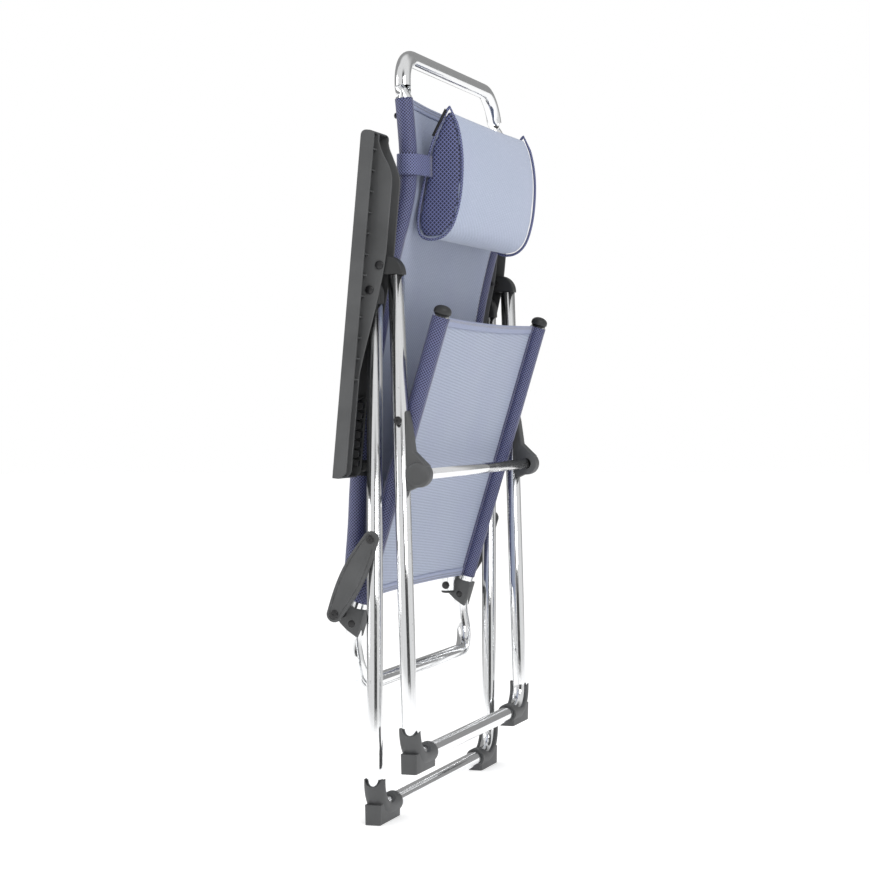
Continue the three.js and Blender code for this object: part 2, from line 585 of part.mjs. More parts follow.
const PILLOW_HALF_WIDTH = 190;
const PILLOW_OUTLINE = [
  [52, 978], [30, 938], [17, 895], [9, 850], [5, 815], [8, 799], [20, 792], [36, 792],
  [54, 806], [66, 836], [72, 872], [73, 910], [68, 945], [60, 968],
];
add("pillow", plate(PILLOW_OUTLINE, -PILLOW_HALF_WIDTH, PILLOW_HALF_WIDTH, 5), PILLOW_FABRIC);

// The elastic band runs from one end of the pillow round the back of both tubes to the other end.
const BAND_Z = [880, 909];
const BAND_GAP = 2.4;
function bandOutline(offset) {
  const radius = SLEEVE_RADIUS + BAND_GAP + offset;
  const centreX = backX(894);
  const side = [];
  for (let i = 0; i <= 7; i++) {
    const a = THREE.MathUtils.degToRad(25 + (155 * i) / 7);
    side.push([centreX + radius * Math.cos(a), BACK_Y + radius * Math.sin(a)]);
  }
  const sewnEnd = [26 + offset * 0.95, PILLOW_HALF_WIDTH + 0.8 + offset * 0.3];
  const front = [sewnEnd, ...side];
  return [...front, ...front.map(([x, y]) => [x, -y]).reverse()];
}
const bandRing = [...bandOutline(1.2), ...bandOutline(0).reverse()];
const bandShape = new THREE.Shape(bandRing.map(([x, y]) => new THREE.Vector2(x, y)));
const bandStrap = new THREE.ExtrudeGeometry(bandShape, { depth: BAND_Z[1] - BAND_Z[0], bevelEnabled: false });
add("pillow_band", bandStrap.translate(0, 0, BAND_Z[0]), BAND);

export default part;
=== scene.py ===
# %% [markdown]
# # A folding camp chair, folded flat
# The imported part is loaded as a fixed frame. It tells where every tube, pin and plastic
# piece sits and which of them move together. Everything below is dressed around it.

# %% Load the frame
import math

import bmesh
import bpy
from mathutils import Matrix, Vector, noise


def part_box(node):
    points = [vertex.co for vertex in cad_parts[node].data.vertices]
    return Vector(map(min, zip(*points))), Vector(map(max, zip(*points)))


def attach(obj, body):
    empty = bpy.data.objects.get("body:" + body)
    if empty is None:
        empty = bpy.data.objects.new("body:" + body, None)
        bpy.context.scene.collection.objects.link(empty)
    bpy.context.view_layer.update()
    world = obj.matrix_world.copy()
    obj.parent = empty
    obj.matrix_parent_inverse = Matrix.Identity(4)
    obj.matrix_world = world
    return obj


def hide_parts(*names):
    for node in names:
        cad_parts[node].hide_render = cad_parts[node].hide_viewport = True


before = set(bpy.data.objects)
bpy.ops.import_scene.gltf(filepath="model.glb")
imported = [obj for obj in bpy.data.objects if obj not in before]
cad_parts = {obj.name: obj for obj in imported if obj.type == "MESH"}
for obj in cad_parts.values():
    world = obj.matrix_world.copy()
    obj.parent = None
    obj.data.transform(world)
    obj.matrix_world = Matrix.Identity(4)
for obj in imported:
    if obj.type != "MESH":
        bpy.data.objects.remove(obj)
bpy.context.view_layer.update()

# %% [markdown]
# The camera stands at the height of the seat pivot, nearly level, and looks almost along
# the chair's width, from the sitter's right and a little in front. A long lens keeps the
# two sides of the frame close to parallel.

# %% Camera
camera_data = bpy.data.cameras.new("camera")
camera_data.angle = math.radians(21.71)
camera = bpy.data.objects.new("camera", camera_data)
camera.location = (0.9993, -3.1592, 0.5781)
camera.rotation_euler = (math.radians(90 - 0.96), 0, math.radians(17.89))
bpy.context.scene.collection.objects.link(camera)
bpy.context.scene.camera = camera
bpy.context.scene.view_settings.view_transform = "Standard"
print("camera looks across", round(math.degrees(camera_data.angle), 2), "degrees")

# %% [markdown]
# Materials and the studio are node trees. Two small helpers keep them readable: one adds a
# node and fills in its inputs, the other is the short way to write a maths node.

# %% Helpers for node trees
def add_node(tree, kind, inputs=None, **settings):
    family = "" if kind in ("NodeGroupInput", "NodeGroupOutput") else "ShaderNode"
    made = tree.nodes.new(family + kind)
    for key, value in settings.items():
        setattr(made, key, value)
    for key, value in (inputs or {}).items():
        socket = made.inputs[key]
        if isinstance(value, bpy.types.NodeSocket):
            tree.links.new(value, socket)
        else:
            socket.default_value = value
    return made


def maths(tree, operation, a, b=0.0, c=0.0, clamp=False):
    return add_node(tree, "Math", {0: a, 1: b, 2: c}, operation=operation, use_clamp=clamp).outputs[0]


def apart(tree, value, centre):
    """How far a value is from a centre, on either side."""
    return maths(tree, "ABSOLUTE", maths(tree, "SUBTRACT", value, centre))


def clouds(tree, place, scale, detail=2.0, roughness=0.5):
    """Soft noise, 0 to 1."""
    return add_node(tree, "TexNoise", {"Vector": place, "Scale": scale, "Detail": detail,
                                       "Roughness": roughness}).outputs["Fac"]


def own_place(tree):
    """The place on the piece itself, in metres."""
    return add_node(tree, "TexCoord").outputs["Object"]


def smooth_step(tree, value, low, high, to_low=0.0, to_high=1.0):
    made = add_node(tree, "MapRange", {"Value": value, "From Min": low, "From Max": high,
                                       "To Min": to_low, "To Max": to_high},
                    interpolation_type="SMOOTHSTEP")
    return made.outputs["Result"]


def mix_colour(tree, factor, a, b, blend_type="MIX"):
    made = add_node(tree, "Mix", data_type="RGBA", blend_type=blend_type)
    for index, value in ((0, factor), (6, a), (7, b)):
        if isinstance(value, bpy.types.NodeSocket):
            tree.links.new(value, made.inputs[index])
        else:
            made.inputs[index].default_value = value
    return made.outputs[2]


def srgb(r, g, b):
    """A colour read off a swatch, 0 to 255, as the linear colour a shader wants."""
    def channel(v):
        v /= 255
        return v / 12.92 if v <= 0.04045 else ((v + 0.055) / 1.055) ** 2.4
    return (channel(r), channel(g), channel(b), 1.0)


print("mid grey is", tuple(round(c, 3) for c in srgb(128, 128, 128)))

# %% [markdown]
# Polished tube shows its surroundings, so the studio around it matters as much as the
# lamps. The room is white with one tall dark card beside the camera, which draws the crisp
# dark line down every tube, and a greyer rear wall for the tubes' rims. The cards show in
# reflections only: matt surfaces are lit by the plain white room, and the camera sees white.

# %% Studio
world = bpy.data.worlds.new("studio")
bpy.context.scene.world = world
world.use_nodes = True
room = world.node_tree
room.nodes.clear()
direction = add_node(room, "TexCoord").outputs["Generated"]
axes = add_node(room, "SeparateXYZ", {"Vector": direction})
azimuth = maths(room, "ARCTAN2", axes.outputs["Y"], axes.outputs["X"])


def card(centre, half_width, softness):
    """1 inside a tall card that stands at an azimuth, 0 outside it, in degrees."""
    away = apart(room, azimuth, math.radians(centre))
    return smooth_step(room, away, math.radians(half_width - softness), math.radians(half_width + softness),
                       1.0, 0.0)


level = maths(room, "ABSOLUTE", axes.outputs["Z"])
reach = smooth_step(room, level, 0.75, 0.95, 1.0, 0.0)
path = add_node(room, "LightPath").outputs
seen = path["Is Camera Ray"]
mirrored = maths(room, "MULTIPLY", reach, maths(room, "SUBTRACT", 1.0, path["Is Diffuse Ray"]))
dark = maths(room, "MULTIPLY", maths(room, "MULTIPLY", card(-58, 21, 3), mirrored), 0.92)
rear = maths(room, "MULTIPLY", maths(room, "MULTIPLY", card(122, 72, 22), mirrored), 0.6)
lightness = maths(room, "MULTIPLY", maths(room, "SUBTRACT", 1.0, dark), maths(room, "SUBTRACT", 1.0, rear))
room_light = add_node(room, "Background", {"Color": (1, 1, 1, 1),
                                           "Strength": maths(room, "MULTIPLY", lightness, 0.78)})
backdrop = add_node(room, "Background", {"Color": (1, 1, 1, 1), "Strength": 1.0})
both = add_node(room, "MixShader", {0: seen, 1: room_light.outputs[0], 2: backdrop.outputs[0]})
add_node(room, "OutputWorld", {"Surface": both.outputs[0]})


def lamp(name, location, target, size, power):
    data = bpy.data.lights.new(name, "AREA")
    data.shape, data.size, data.size_y, data.energy = "RECTANGLE", size[0], size[1], power
    made = bpy.data.objects.new(name, data)
    made.location = location
    made.rotation_euler = (Vector(target) - Vector(location)).to_track_quat("-Z", "Y").to_euler()
    bpy.context.scene.collection.objects.link(made)


lamp("key", (2.0, -2.2, 2.6), (0, 0, 0.55), (1.6, 1.6), 42)
lamp("side", (-2.6, -1.2, 1.6), (0, 0, 0.5), (1.0, 1.8), 16)
print("studio has", len(room.nodes), "nodes and two lamps")

# %% [markdown]
# The floor is a plain pale disc. It is lit a little from within, so that it meets the white
# room without a line, and it still takes a soft shadow under the feet.

# %% Floor
floor_paint = bpy.data.materials.new("floor_paint")
floor_paint.use_nodes = True
floor_shader = floor_paint.node_tree.nodes["Principled BSDF"]
floor_shader.inputs["Base Color"].default_value = (0.86, 0.86, 0.86, 1)
floor_shader.inputs["Roughness"].default_value = 0.9
floor_shader.inputs["Emission Color"].default_value = (1, 1, 1, 1)
floor_shader.inputs["Emission Strength"].default_value = 0.42

FLOOR_RADIUS = 14
disc = bmesh.new()
bmesh.ops.create_circle(disc, cap_ends=True, segments=96, radius=FLOOR_RADIUS)
floor_mesh = bpy.data.meshes.new("floor")
disc.to_mesh(floor_mesh)
disc.free()
floor_mesh.materials.append(floor_paint)
floor = bpy.data.objects.new("floor", floor_mesh)
floor.location.z = -0.0006
bpy.context.scene.collection.objects.link(floor)
print("floor disc is", 2 * FLOOR_RADIUS, "m across")

# %% [markdown]
# Three effects turn up in many finishes, so each is a node group, built once.
# `edge_wear_and_highlight` finds outside edges by comparing the true normal with one rounded over a
# small radius, and breaks the line up with noise; the paler edges it marks are partly rubbed wear and
# partly a painted edge highlight. `fine_grain` is the spark-eroded texture of a moulding tool.
# `lattice` is the open weave of coated yarn that covers the sleeves.

# %% Shader group: edge wear and painted edge highlight
def new_group(name, ins, outs):
    tree = bpy.data.node_groups.new(name, "ShaderNodeTree")
    for label, kind, value in ins:
        socket = tree.interface.new_socket(label, in_out="INPUT", socket_type=kind)
        socket.default_value = value
    for label, kind in outs:
        tree.interface.new_socket(label, in_out="OUTPUT", socket_type=kind)
    return tree, add_node(tree, "NodeGroupInput"), add_node(tree, "NodeGroupOutput")


wear_and_highlight_group, given, result = new_group(
    "edge_wear_and_highlight",
    [("Radius", "NodeSocketFloat", 0.0012), ("Noise Scale", "NodeSocketFloat", 120.0)],
    [("Mask", "NodeSocketFloat"), ("Normal", "NodeSocketVector")])
rounded = add_node(wear_and_highlight_group, "Bevel", {"Radius": given.outputs["Radius"]}, samples=4)
true_normal = add_node(wear_and_highlight_group, "NewGeometry").outputs["Normal"]
agreement = add_node(wear_and_highlight_group, "VectorMath", {0: rounded.outputs[0], 1: true_normal},
                     operation="DOT_PRODUCT").outputs["Value"]
edge = smooth_step(wear_and_highlight_group, agreement, 0.99, 0.90)
patchy = clouds(wear_and_highlight_group, own_place(wear_and_highlight_group), given.outputs["Noise Scale"], 4.0)
# The mask stands for rubbed wear and also for a painted highlight along the edges.
worn_and_highlit = maths(wear_and_highlight_group, "MULTIPLY", edge, smooth_step(wear_and_highlight_group, patchy, 0.35, 0.62))
wear_and_highlight_group.links.new(worn_and_highlit, result.inputs["Mask"])
wear_and_highlight_group.links.new(rounded.outputs[0], result.inputs["Normal"])
print("edge_wear_and_highlight has", len(wear_and_highlight_group.nodes), "nodes")

# %% Shader group: fine grain of moulded plastic
grain_group, given, result = new_group(
    "fine_grain", [("Scale", "NodeSocketFloat", 900.0)],
    [("Height", "NodeSocketFloat"), ("Mottle", "NodeSocketFloat")])
place = own_place(grain_group)
pits = clouds(grain_group, place, given.outputs["Scale"], 3.0, 0.6)
cells = add_node(grain_group, "TexVoronoi", {"Vector": place, "Scale": given.outputs["Scale"]},
                 feature="SMOOTH_F1").outputs["Distance"]
height = maths(grain_group, "MULTIPLY_ADD", pits, 0.6, maths(grain_group, "MULTIPLY", cells, 0.4))
mottle = clouds(grain_group, place, 16.0, 5.0)
grain_group.links.new(height, result.inputs["Height"])
grain_group.links.new(mottle, result.inputs["Mottle"])
print("fine_grain has", len(grain_group.nodes), "nodes")

# %% Shader group: lattice weave
# A cloth map holds metres across and along the cloth. Threads cross at 45 degrees, and the
# gaps between them show the dark inside.
lattice_group, given, result = new_group(
    "lattice",
    [("Pitch", "NodeSocketFloat", 0.0030), ("Thread Share", "NodeSocketFloat", 0.5)],
    [("Thread", "NodeSocketFloat"), ("Height", "NodeSocketFloat")])
cloth_map = add_node(lattice_group, "UVMap", uv_map="cloth")
across_along = add_node(lattice_group, "SeparateXYZ", {"Vector": cloth_map.outputs[0]})


def wave(tree, value, pitch):
    """A wave from 0 to 1 that comes round once in each pitch."""
    turns = maths(tree, "MULTIPLY", maths(tree, "DIVIDE", value, pitch), 2 * math.pi)
    return maths(tree, "MULTIPLY_ADD", maths(tree, "SINE", turns), 0.5, 0.5)


rising = maths(lattice_group, "ADD", across_along.outputs["X"], across_along.outputs["Y"])
falling = maths(lattice_group, "SUBTRACT", across_along.outputs["X"], across_along.outputs["Y"])
first = wave(lattice_group, rising, given.outputs["Pitch"])
second = wave(lattice_group, falling, given.outputs["Pitch"])
crossing = maths(lattice_group, "MAXIMUM", first, second)
low_edge = maths(lattice_group, "SUBTRACT", 1.0, given.outputs["Thread Share"])
thread = add_node(lattice_group, "MapRange", {"Value": crossing, "From Min": low_edge,
                                              "From Max": maths(lattice_group, "ADD", low_edge, 0.3)},
                  interpolation_type="SMOOTHSTEP").outputs["Result"]
lattice_group.links.new(thread, result.inputs["Thread"])
lattice_group.links.new(maths(lattice_group, "MULTIPLY", crossing, thread), result.inputs["Height"])
print("lattice has", len(lattice_group.nodes), "nodes")

# %% [markdown]
# Each finish starts from a Principled shader. The values that are the same all over the
# surface are set on its own sockets, and only colours, roughness and normals that vary are
# wired in.

# %% A new finish
def new_finish(name, **values):
    material = bpy.data.materials.new(name)
    material.use_nodes = True
    shader = material.node_tree.nodes["Principled BSDF"]
    for key, value in values.items():
        shader.inputs[key.replace("_", " ").title()].default_value = value
    return material, material.node_tree, shader


def wire(tree, source, shader, socket):
    tree.links.new(source, shader.inputs[socket])


def bump(tree, height, strength, distance, normal=None):
    made = add_node(tree, "Bump", {"Height": height, "Strength": strength, "Distance": distance})
    if normal is not None:
        tree.links.new(normal, made.inputs["Normal"])
    return made.outputs["Normal"]


# %% [markdown]
# The tubes are drawn and polished aluminium. Drawing leaves faint streaks along the tube, so
# each tube carries a `grain` attribute, place around and place along, and the noise is
# stretched along it.

# %% Finish: polished aluminium
aluminium, tree, shader = new_finish("polished_aluminium", metallic=1.0, roughness=0.14)
drawn_place = add_node(tree, "Attribute", attribute_name="grain").outputs["Vector"]
stretched = add_node(tree, "VectorMath", {0: drawn_place, 1: (1.0, 1.0, 0.02)}, operation="MULTIPLY").outputs[0]
streaks = clouds(tree, stretched, 900.0, 4.0)
place = own_place(tree)
smudges = clouds(tree, place, 34.0, 5.0, 0.6)
scuffs = clouds(tree, place, 260.0)
rough = maths(tree, "MULTIPLY_ADD", streaks, 0.10, 0.06)
rough = maths(tree, "MULTIPLY_ADD", smooth_step(tree, smudges, 0.45, 0.75), 0.08, rough)
wire(tree, rough, shader, "Roughness")
tint = mix_colour(tree, streaks, (0.78, 0.79, 0.80, 1), (0.92, 0.925, 0.93, 1))
tint = mix_colour(tree, smooth_step(tree, scuffs, 0.68, 0.8), tint, (0.62, 0.63, 0.64, 1))
wire(tree, tint, shader, "Base Color")
wire(tree, bump(tree, streaks, 0.05, 0.0002), shader, "Normal")
print(aluminium.name, "has", len(tree.nodes), "nodes")

# %% [markdown]
# Armrests, feet, brackets and links are moulded in dark grey plastic with a fine matt grain.
# Their edges are painted paler, partly as rubbed wear and partly as a painted highlight. The knuckles, caps and
# collars are the same plastic in near black.

# %% Finish: moulded plastics
def moulded_plastic(name, base, pale, roughness):
    material, tree, shader = new_finish(name, roughness=roughness)
    wear_and_highlight = add_node(tree, "Group", node_tree=wear_and_highlight_group)
    wear_and_highlight.inputs["Radius"].default_value = 0.0011
    wear_and_highlight.inputs["Noise Scale"].default_value = 90.0
    grain = add_node(tree, "Group", node_tree=grain_group)
    grain.inputs["Scale"].default_value = 950.0
    height = grain.outputs["Height"]
    # Paler edges: partly rubbed wear, partly a painted edge highlight.
    rubbed_and_highlit = maths(tree, "MULTIPLY", wear_and_highlight.outputs["Mask"], 0.7)
    darker = tuple(c * 0.8 for c in base[:3]) + (1,)
    body = mix_colour(tree, smooth_step(tree, grain.outputs["Mottle"], 0.35, 0.65), darker, base)
    wire(tree, mix_colour(tree, rubbed_and_highlit, body, pale), shader, "Base Color")
    wire(tree, maths(tree, "MULTIPLY_ADD", height, 0.18, roughness - 0.09), shader, "Roughness")
    wire(tree, bump(tree, height, 0.35, 0.00022, wear_and_highlight.outputs["Normal"]), shader, "Normal")
    print(name, "has", len(tree.nodes), "nodes")
    return material


grey_plastic = moulded_plastic("grey_plastic", srgb(76, 77, 78), srgb(122, 123, 124), 0.56)
dark_plastic = moulded_plastic("dark_plastic", srgb(40, 41, 42), srgb(84, 85, 86), 0.5)
black_coat = moulded_plastic("black_coated_steel", srgb(26, 26, 28), srgb(96, 96, 98), 0.34)

# %% Finish: zinc-plated steel
zinc, tree, shader = new_finish("zinc_steel", metallic=1.0, roughness=0.3)
spangle = add_node(tree, "TexVoronoi", {"Vector": own_place(tree), "Scale": 700.0}).outputs["Distance"]
wire(tree, mix_colour(tree, spangle, srgb(150, 152, 155), srgb(205, 206, 208)), shader, "Base Color")
wire(tree, maths(tree, "MULTIPLY_ADD", spangle, 0.2, 0.22), shader, "Roughness")
print(zinc.name, "has", len(tree.nodes), "nodes")

# %% [markdown]
# The sling is woven from coated yarn. Its open panel is pale blue-grey with fine ribs and a
# slanting stripe where warp and weft beat together. Towards each side it turns navy, where
# the cloth doubles round the tube, and a line of dashed stitches marks the seam. The cloth
# map's first number is the distance from the cloth's middle, so its size finds the seam.

# %% Finish: sling cloth
def sling_cloth(name, seam, slant, rib_pitch):
    """seam is the distance from the middle to the stitches."""
    material, tree, shader = new_finish(name, roughness=0.5, sheen_weight=0.25, sheen_roughness=0.4)
    cloth_map = add_node(tree, "UVMap", uv_map="cloth")
    uv = add_node(tree, "SeparateXYZ", {"Vector": cloth_map.outputs[0]})
    across, along = uv.outputs["X"], uv.outputs["Y"]
    outwards = maths(tree, "ABSOLUTE", across)
    ribs = wave(tree, across, rib_pitch)
    rows = wave(tree, along, 0.0021)
    slanted = wave(tree, maths(tree, "MULTIPLY_ADD", across, slant, along), 0.0042)
    blotch = clouds(tree, cloth_map.outputs[0], 14.0, 4.0)
    yarn = clouds(tree, cloth_map.outputs[0], 420.0)
    crossings = maths(tree, "MULTIPLY", ribs, rows)
    pale = mix_colour(tree, maths(tree, "MULTIPLY", slanted, 0.55), srgb(131, 141, 163), srgb(176, 186, 208))
    pale = mix_colour(tree, maths(tree, "MULTIPLY", crossings, 0.4), pale, srgb(110, 119, 146))
    pale = mix_colour(tree, smooth_step(tree, blotch, 0.35, 0.7, 0.0, 0.35), pale, srgb(137, 143, 172))
    pale = mix_colour(tree, smooth_step(tree, yarn, 0.5, 0.75, 0.0, 0.35), pale, srgb(196, 203, 220))
    weave = add_node(tree, "Group", node_tree=lattice_group)
    weave.inputs["Pitch"].default_value = 0.0044
    weave.inputs["Thread Share"].default_value = 0.22
    navy = mix_colour(tree, weave.outputs["Thread"], srgb(24, 26, 58), srgb(124, 130, 178))
    sleeve = smooth_step(tree, outwards, seam - 0.0015, seam + 0.0010)
    cloth = mix_colour(tree, sleeve, pale, navy)
    dash = smooth_step(tree, wave(tree, along, 0.0062), 0.18, 0.34)
    line = smooth_step(tree, apart(tree, outwards, seam), 0.0010, 0.0004)
    stitch = maths(tree, "MULTIPLY", dash, line)
    shade = smooth_step(tree, apart(tree, outwards, seam + 0.0018), 0.0022, 0.0008)
    cloth = mix_colour(tree, maths(tree, "MULTIPLY", shade, 0.75), cloth, srgb(26, 28, 54))
    cloth = mix_colour(tree, stitch, cloth, srgb(214, 219, 232))
    wire(tree, cloth, shader, "Base Color")
    panel_height = maths(tree, "MULTIPLY_ADD", ribs, 0.5, maths(tree, "MULTIPLY", rows, 0.5))
    height = add_node(tree, "Mix", {0: sleeve, 2: panel_height, 3: weave.outputs["Height"]}).outputs[0]
    height = maths(tree, "ADD", height, maths(tree, "MULTIPLY", stitch, 1.5))
    wire(tree, bump(tree, height, 0.55, 0.0004), shader, "Normal")
    wire(tree, maths(tree, "MULTIPLY_ADD", sleeve, -0.12, 0.56), shader, "Roughness")
    print(name, "has", len(tree.nodes), "nodes")
    return material


# %% [markdown]
# The sling's front and rear edges are hems: the cloth is folded back and sewn down. The hem
# of the seat has a zigzag in tan thread, and the other hems have two straight rows.

# %% Finish: hem
def hem_cloth(name, zigzag):
    material, tree, shader = new_finish(name, roughness=0.6, sheen_weight=0.25, sheen_roughness=0.4)
    cloth_map = add_node(tree, "UVMap", uv_map="cloth")
    uv = add_node(tree, "SeparateXYZ", {"Vector": cloth_map.outputs[0]})
    across, along = uv.outputs["X"], uv.outputs["Y"]
    ribs = wave(tree, across, 0.0024)
    rows = wave(tree, along, 0.0021)
    cloth = mix_colour(tree, maths(tree, "MULTIPLY", ribs, 0.6), srgb(118, 127, 158), srgb(158, 168, 196))
    if zigzag:
        swing = maths(tree, "PINGPONG", across, 0.0028)
        sewn_line = maths(tree, "MULTIPLY_ADD", swing, 1.3, 0.0018)
        stitch = smooth_step(tree, apart(tree, along, sewn_line), 0.0010, 0.0004)
        thread_colour = srgb(122, 116, 112)
    else:
        dash = smooth_step(tree, wave(tree, across, 0.0058), 0.16, 0.3)
        nearest = maths(tree, "MINIMUM", apart(tree, along, 0.0028), apart(tree, along, 0.0066))
        stitch = maths(tree, "MULTIPLY", dash, smooth_step(tree, nearest, 0.0010, 0.0005))
        thread_colour = srgb(92, 92, 96)
    wire(tree, mix_colour(tree, stitch, cloth, thread_colour), shader, "Base Color")
    weave_height = maths(tree, "MULTIPLY", maths(tree, "ADD", ribs, rows), 0.5)
    height = maths(tree, "MULTIPLY_ADD", stitch, 1.4, weave_height)
    wire(tree, bump(tree, height, 0.5, 0.0004), shader, "Normal")
    print(name, "has", len(tree.nodes), "nodes")
    return material


# %% [markdown]
# The pillow has two cloths. The face is a finer, paler weave. The end panels, the piping and
# the band are the navy lattice. After its simulation the pillow has no cloth map, so its
# weaves run on Object coordinates instead.

# %% Finish: pillow cloths
face_cloth, tree, shader = new_finish("pillow_face_cloth", roughness=0.75, sheen_weight=0.4,
                                      sheen_roughness=0.5)
place = add_node(tree, "SeparateXYZ", {"Vector": own_place(tree)})
ribs = wave(tree, place.outputs["Y"], 0.0030)
rows = wave(tree, maths(tree, "MULTIPLY_ADD", place.outputs["X"], 0.6, place.outputs["Z"]), 0.0026)
slanted = wave(tree, maths(tree, "MULTIPLY_ADD", place.outputs["Y"], 0.42, place.outputs["Z"]), 0.0058)
blotch = clouds(tree, own_place(tree), 11.0, 4.0)
yarn = clouds(tree, own_place(tree), 380.0)
crossings = maths(tree, "MULTIPLY", ribs, rows)
cloth = mix_colour(tree, maths(tree, "MULTIPLY", slanted, 0.4), srgb(141, 153, 178), srgb(172, 184, 209))
cloth = mix_colour(tree, maths(tree, "MULTIPLY", crossings, 0.35), cloth, srgb(118, 130, 158))
cloth = mix_colour(tree, smooth_step(tree, blotch, 0.35, 0.7, 0.0, 0.3), cloth, srgb(150, 158, 186))
cloth = mix_colour(tree, smooth_step(tree, yarn, 0.52, 0.75, 0.0, 0.3), cloth, srgb(198, 206, 224))
wire(tree, cloth, shader, "Base Color")
wire(tree, bump(tree, maths(tree, "MULTIPLY_ADD", yarn, 0.3, crossings), 0.5, 0.0004), shader, "Normal")
print(face_cloth.name, "has", len(tree.nodes), "nodes")

side_cloth, tree, shader = new_finish("pillow_side_cloth", roughness=0.55, sheen_weight=0.2,
                                      sheen_roughness=0.4)
place = add_node(tree, "SeparateXYZ", {"Vector": own_place(tree)})
slope_up = maths(tree, "ADD", place.outputs["X"], place.outputs["Z"])
slope_down = maths(tree, "SUBTRACT", place.outputs["X"], place.outputs["Z"])
crossing = maths(tree, "MAXIMUM", wave(tree, slope_up, 0.0058), wave(tree, slope_down, 0.0058))
thread = smooth_step(tree, crossing, 0.70, 0.97)
patch = clouds(tree, own_place(tree), 20.0)
navy = mix_colour(tree, patch, srgb(14, 15, 34), srgb(26, 28, 60))
wire(tree, mix_colour(tree, thread, navy, srgb(104, 111, 158)), shader, "Base Color")
wire(tree, bump(tree, crossing, 0.6, 0.0005), shader, "Normal")
print(side_cloth.name, "has", len(tree.nodes), "nodes")

band_cloth, tree, shader = new_finish("band_cloth", roughness=0.6, sheen_weight=0.2, sheen_roughness=0.4)
weave = add_node(tree, "Group", node_tree=lattice_group)
weave.inputs["Pitch"].default_value = 0.0042
weave.inputs["Thread Share"].default_value = 0.32
woven = mix_colour(tree, weave.outputs["Thread"], srgb(26, 28, 60), srgb(124, 131, 176))
wire(tree, woven, shader, "Base Color")
wire(tree, bump(tree, weave.outputs["Height"], 0.6, 0.0004), shader, "Normal")

label_cloth, tree, shader = new_finish("label_cloth", roughness=0.7)
place = add_node(tree, "SeparateXYZ", {"Vector": own_place(tree)})
satin = wave(tree, place.outputs["Z"], 0.0009)
wire(tree, mix_colour(tree, satin, srgb(12, 12, 14), srgb(24, 24, 28)), shader, "Base Color")
wire(tree, bump(tree, satin, 0.3, 0.0001), shader, "Normal")
print("pillow has cloths for its face, ends, band and label")

# %% [markdown]
# Modelling starts with a few helpers. Sizes are given in millimetres as a maker would, from
# a line a little ahead of the part's middle, and `spot` turns them into a place in metres.

# %% Places and paths
MM = 0.001
MIDDLE_X = 9.46


def spot(x, z, y=0.0):
    return Vector(((x + MIDDLE_X) * MM, y * MM, z * MM))


def place_frames(points, across=None):
    """A frame at each point of a path, Z along the path. With across given, Y stays on it."""
    frames, turn, last = [], None, None
    for i, point in enumerate(points):
        back = point - points[i - 1] if i else points[1] - point
        on = points[i + 1] - point if i + 1 < len(points) else back
        tangent = (back.normalized() + on.normalized()).normalized()
        if across is not None:
            normal = across.cross(tangent).normalized()
            turn = Matrix((normal, tangent.cross(normal), tangent)).transposed().to_quaternion()
        elif last is None:
            turn = tangent.to_track_quat("Z", "X")
        else:
            turn = last.rotation_difference(tangent) @ turn
        last = tangent
        frames.append(Matrix.Translation(point) @ turn.to_matrix().to_4x4())
    return frames


def sweep(bm, edges, frames):
    """Carries edges that lie at the first frame through the others, a band of faces each time."""
    for before, after in zip(frames, frames[1:]):
        made = bmesh.ops.extrude_edge_only(bm, edges=edges)["geom"]
        moved = {g for g in made if isinstance(g, bmesh.types.BMVert)}
        edges = [g for g in made if isinstance(g, bmesh.types.BMEdge) and set(g.verts) <= moved]
        bmesh.ops.transform(bm, matrix=after @ before.inverted(), verts=list(moved))
        yield list(moved)


def round_corner(corner, before, after, radius, steps=14):
    """Points of an arc that rounds a corner between two straights."""
    into, out = (corner - before).normalized(), (after - corner).normalized()
    bend = into.angle(out)
    start = corner - into * radius * math.tan(bend / 2)
    inwards = (out - into * into.dot(out)).normalized()
    centre = start + inwards * radius
    return [centre - inwards * radius * math.cos(bend * i / steps) + into * radius * math.sin(bend * i / steps)
            for i in range(steps + 1)]


def smooth_line(points, count):
    """A smooth curve through points, with count steps between each two."""
    padded = [points[0] * 2 - points[1], *points, points[-1] * 2 - points[-2]]
    line = []
    for p0, p1, p2, p3 in zip(padded, padded[1:], padded[2:], padded[3:]):
        for i in range(count):
            t = i / count
            line.append(0.5 * (2 * p1 + (p2 - p0) * t + (2 * p0 - 5 * p1 + 4 * p2 - p3) * t * t
                               + (3 * p1 - p0 - 3 * p2 + p3) * t ** 3))
    return [*line, points[-1]]


def filled(points, step):
    """The same line with extra points, so that no step is longer than step."""
    line = [points[0]]
    for a, b in zip(points, points[1:]):
        parts = max(1, math.ceil((b - a).length / step))
        line += [a.lerp(b, i / parts) for i in range(1, parts + 1)]
    return line


print("helpers place parts to", MM, "m")

# %% Finished pieces
def finish_piece(name, bm, material, body, stands_for=(), sharp=35):
    bmesh.ops.remove_doubles(bm, verts=bm.verts, dist=1e-6)
    bmesh.ops.recalc_face_normals(bm, faces=bm.faces)
    mesh = bpy.data.meshes.new(name)
    bm.to_mesh(mesh)
    bm.free()
    return finish_mesh(name, mesh, material, body, stands_for, sharp)


def finish_mesh(name, mesh, material, body, stands_for=(), sharp=35):
    mesh.materials.clear()
    for each in material if isinstance(material, list) else [material]:
        mesh.materials.append(each)
    mesh.shade_smooth()
    mesh.set_sharp_from_angle(angle=math.radians(sharp))
    piece = bpy.data.objects.new(name, mesh)
    bpy.context.scene.collection.objects.link(piece)
    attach(piece, body)
    if stands_for:
        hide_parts(*stands_for)
    print(name, "has", len(mesh.polygons), "faces")
    return piece


